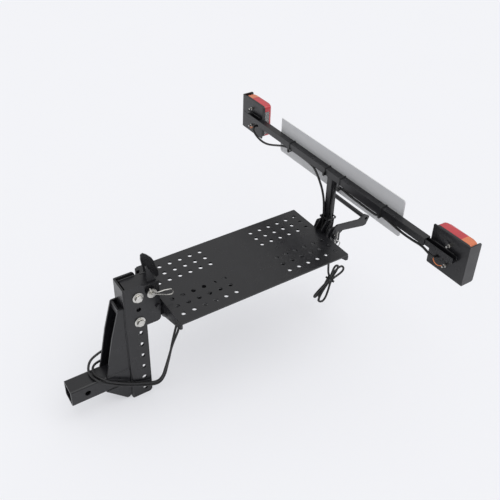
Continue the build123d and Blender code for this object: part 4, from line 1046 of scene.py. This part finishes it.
class CARRIER_OT_lamps(bpy.types.Operator):
    """Tail lamps: lenses with ribs and screws, clear windows, bulbs and ground wires"""
    bl_idname = "carrier.lamps"
    bl_label = "Dress the tail lamps"

    def execute(self, context):
        coat(pairs(["clear_window"]), clear_plastic())
        coat(pairs(["lamp_bulbs"]), bulb_glass())
        low, high = LAMP_Z - LAMP_SIZE / 2 + RIB_MARGIN_Z, LAMP_Z + LAMP_SIZE / 2 - RIB_MARGIN_Z
        split, red_gap, amber_gap = LAMP_SIZE - AMBER_WIDE, 0.002, 0.001
        plastics = (("red", red_plastic(), RIB_MARGIN_Y, split - red_gap),
                    ("amber", amber_plastic(), split + amber_gap, LAMP_SIZE - RIB_MARGIN_Y))
        for word, side in SIDES.items():
            for colour, material, start, end in plastics:
                piece = smooth(lens_part(side, colour == "amber"), 25)
                named(piece, f"domed_{colour}_lens_{word}", material)
                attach(piece, f"lamp_{word}")
                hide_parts(f"{colour}_lens_{word}")
            for colour, material, start, end in plastics:
                piece = smooth(lens_ribs(lamp_span(side, start, end), low, high))
                named(piece, f"lens_ribs_{colour}_{word}", material)
                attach(piece, f"lamp_{word}")
            middle = side * (LAMP_INNER + LAMP_SIZE / 2)
            screws = [lens_screw(middle, z) for z in (low - SCREW_BESIDE, high + SCREW_BESIDE)]
            piece = named(smooth(joined(screws)), f"lens_screws_{word}", zinc_plate())
            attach(piece, f"lamp_{word}")
            wire = named(ground_wire(side), f"ground_wire_{word}", orange_wire())
            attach(wire, f"lamp_{word}")
        return {"FINISHED"}


# Stage

def photo_camera(own):
    """Camera of the photograph."""
    data = bpy.data.cameras.new("photo_view")
    data.lens = own.lens
    data.shift_x, data.shift_y = own.shift_x, own.shift_y
    data.clip_end = 50
    bpy.context.scene.camera = added("photo_view", data, CAMERA_PLACE, CAMERA_TURN)


def even_sky(strength):
    """Even light from all round, brighter from above."""
    world = bpy.data.worlds.new("even_light")
    world.use_nodes = True
    bpy.context.scene.world = world
    tree = world.node_tree
    direction = add_node(tree, "ShaderNodeTexCoord")
    part = add_node(tree, "ShaderNodeSeparateXYZ")
    tree.links.new(direction.outputs["Generated"], part.inputs["Vector"])
    glow = ramp(tree, part.outputs["Z"], 0.0, 0.8, strength * SKY_LOW, strength * SKY_HIGH)
    sky = tree.nodes["Background"]
    tree.links.new(glow, sky.inputs["Strength"])
    sky.inputs["Color"].default_value = (1, 1, 1, 1)


def overhead_light(strength):
    """Soft light from above."""
    light = bpy.data.lights.new("overhead", "SUN")
    light.energy = strength
    light.angle = math.radians(SUN_SPREAD)
    added("overhead", light, turn=SUN_TURN)


class CARRIER_OT_stage(bpy.types.Operator):
    """Camera of the photograph, pale floor and soft light"""
    bl_idname = "carrier.stage"
    bl_label = "Set the stage"

    def execute(self, context):
        own = context.scene.carrier_stage
        context.scene.view_settings.view_transform = "Standard"
        photo_camera(own)
        nothing_selected()
        bpy.ops.mesh.primitive_plane_add(size=24, location=(0.4, 0, FLOOR_HEIGHT))
        floor = bpy.context.object
        floor.name = "floor"
        floor.data.materials.append(pale_floor())
        even_sky(own.sky)
        overhead_light(own.sun)
        return {"FINISHED"}


class CARRIER_PT_panel(bpy.types.Panel):
    """Sizes, colours and steps of the carrier"""
    bl_idname = "CARRIER_PT_panel"
    bl_label = "Motorcycle carrier"
    bl_space_type = "VIEW_3D"
    bl_region_type = "UI"
    bl_category = "Carrier"

    def draw(self, context):
        for group in ("carrier_finishes", "carrier_sizes", "carrier_stage"):
            owner = getattr(context.scene, group)
            box = self.layout.box()
            for name in owner.bl_rna.properties.keys():
                if name not in ("rna_type", "name"):
                    box.prop(owner, name)
        for step in STEPS:
            self.layout.operator(step.bl_idname)


GROUPS = {"carrier_finishes": CarrierFinishes, "carrier_sizes": CarrierSizes, "carrier_stage": CarrierStage}
STEPS = (CARRIER_OT_stage, CARRIER_OT_plug, CARRIER_OT_ties, CARRIER_OT_cables, CARRIER_OT_steel,
         CARRIER_OT_welds, CARRIER_OT_fasteners, CARRIER_OT_lamps)
CLASSES = (*GROUPS.values(), *STEPS, CARRIER_PT_panel)


def register():
    for kind in CLASSES:
        bpy.utils.register_class(kind)
    for name, group in GROUPS.items():
        setattr(bpy.types.Scene, name, PointerProperty(type=group))


def unregister():
    for name in GROUPS:
        delattr(bpy.types.Scene, name)
    for kind in reversed(CLASSES):
        bpy.utils.unregister_class(kind)


def main():
    """Makes the carrier step by step."""
    register()
    for step in STEPS:
        area, name = step.bl_idname.split(".")
        getattr(getattr(bpy.ops, area), name)()


if __name__ == "__main__":
    main()
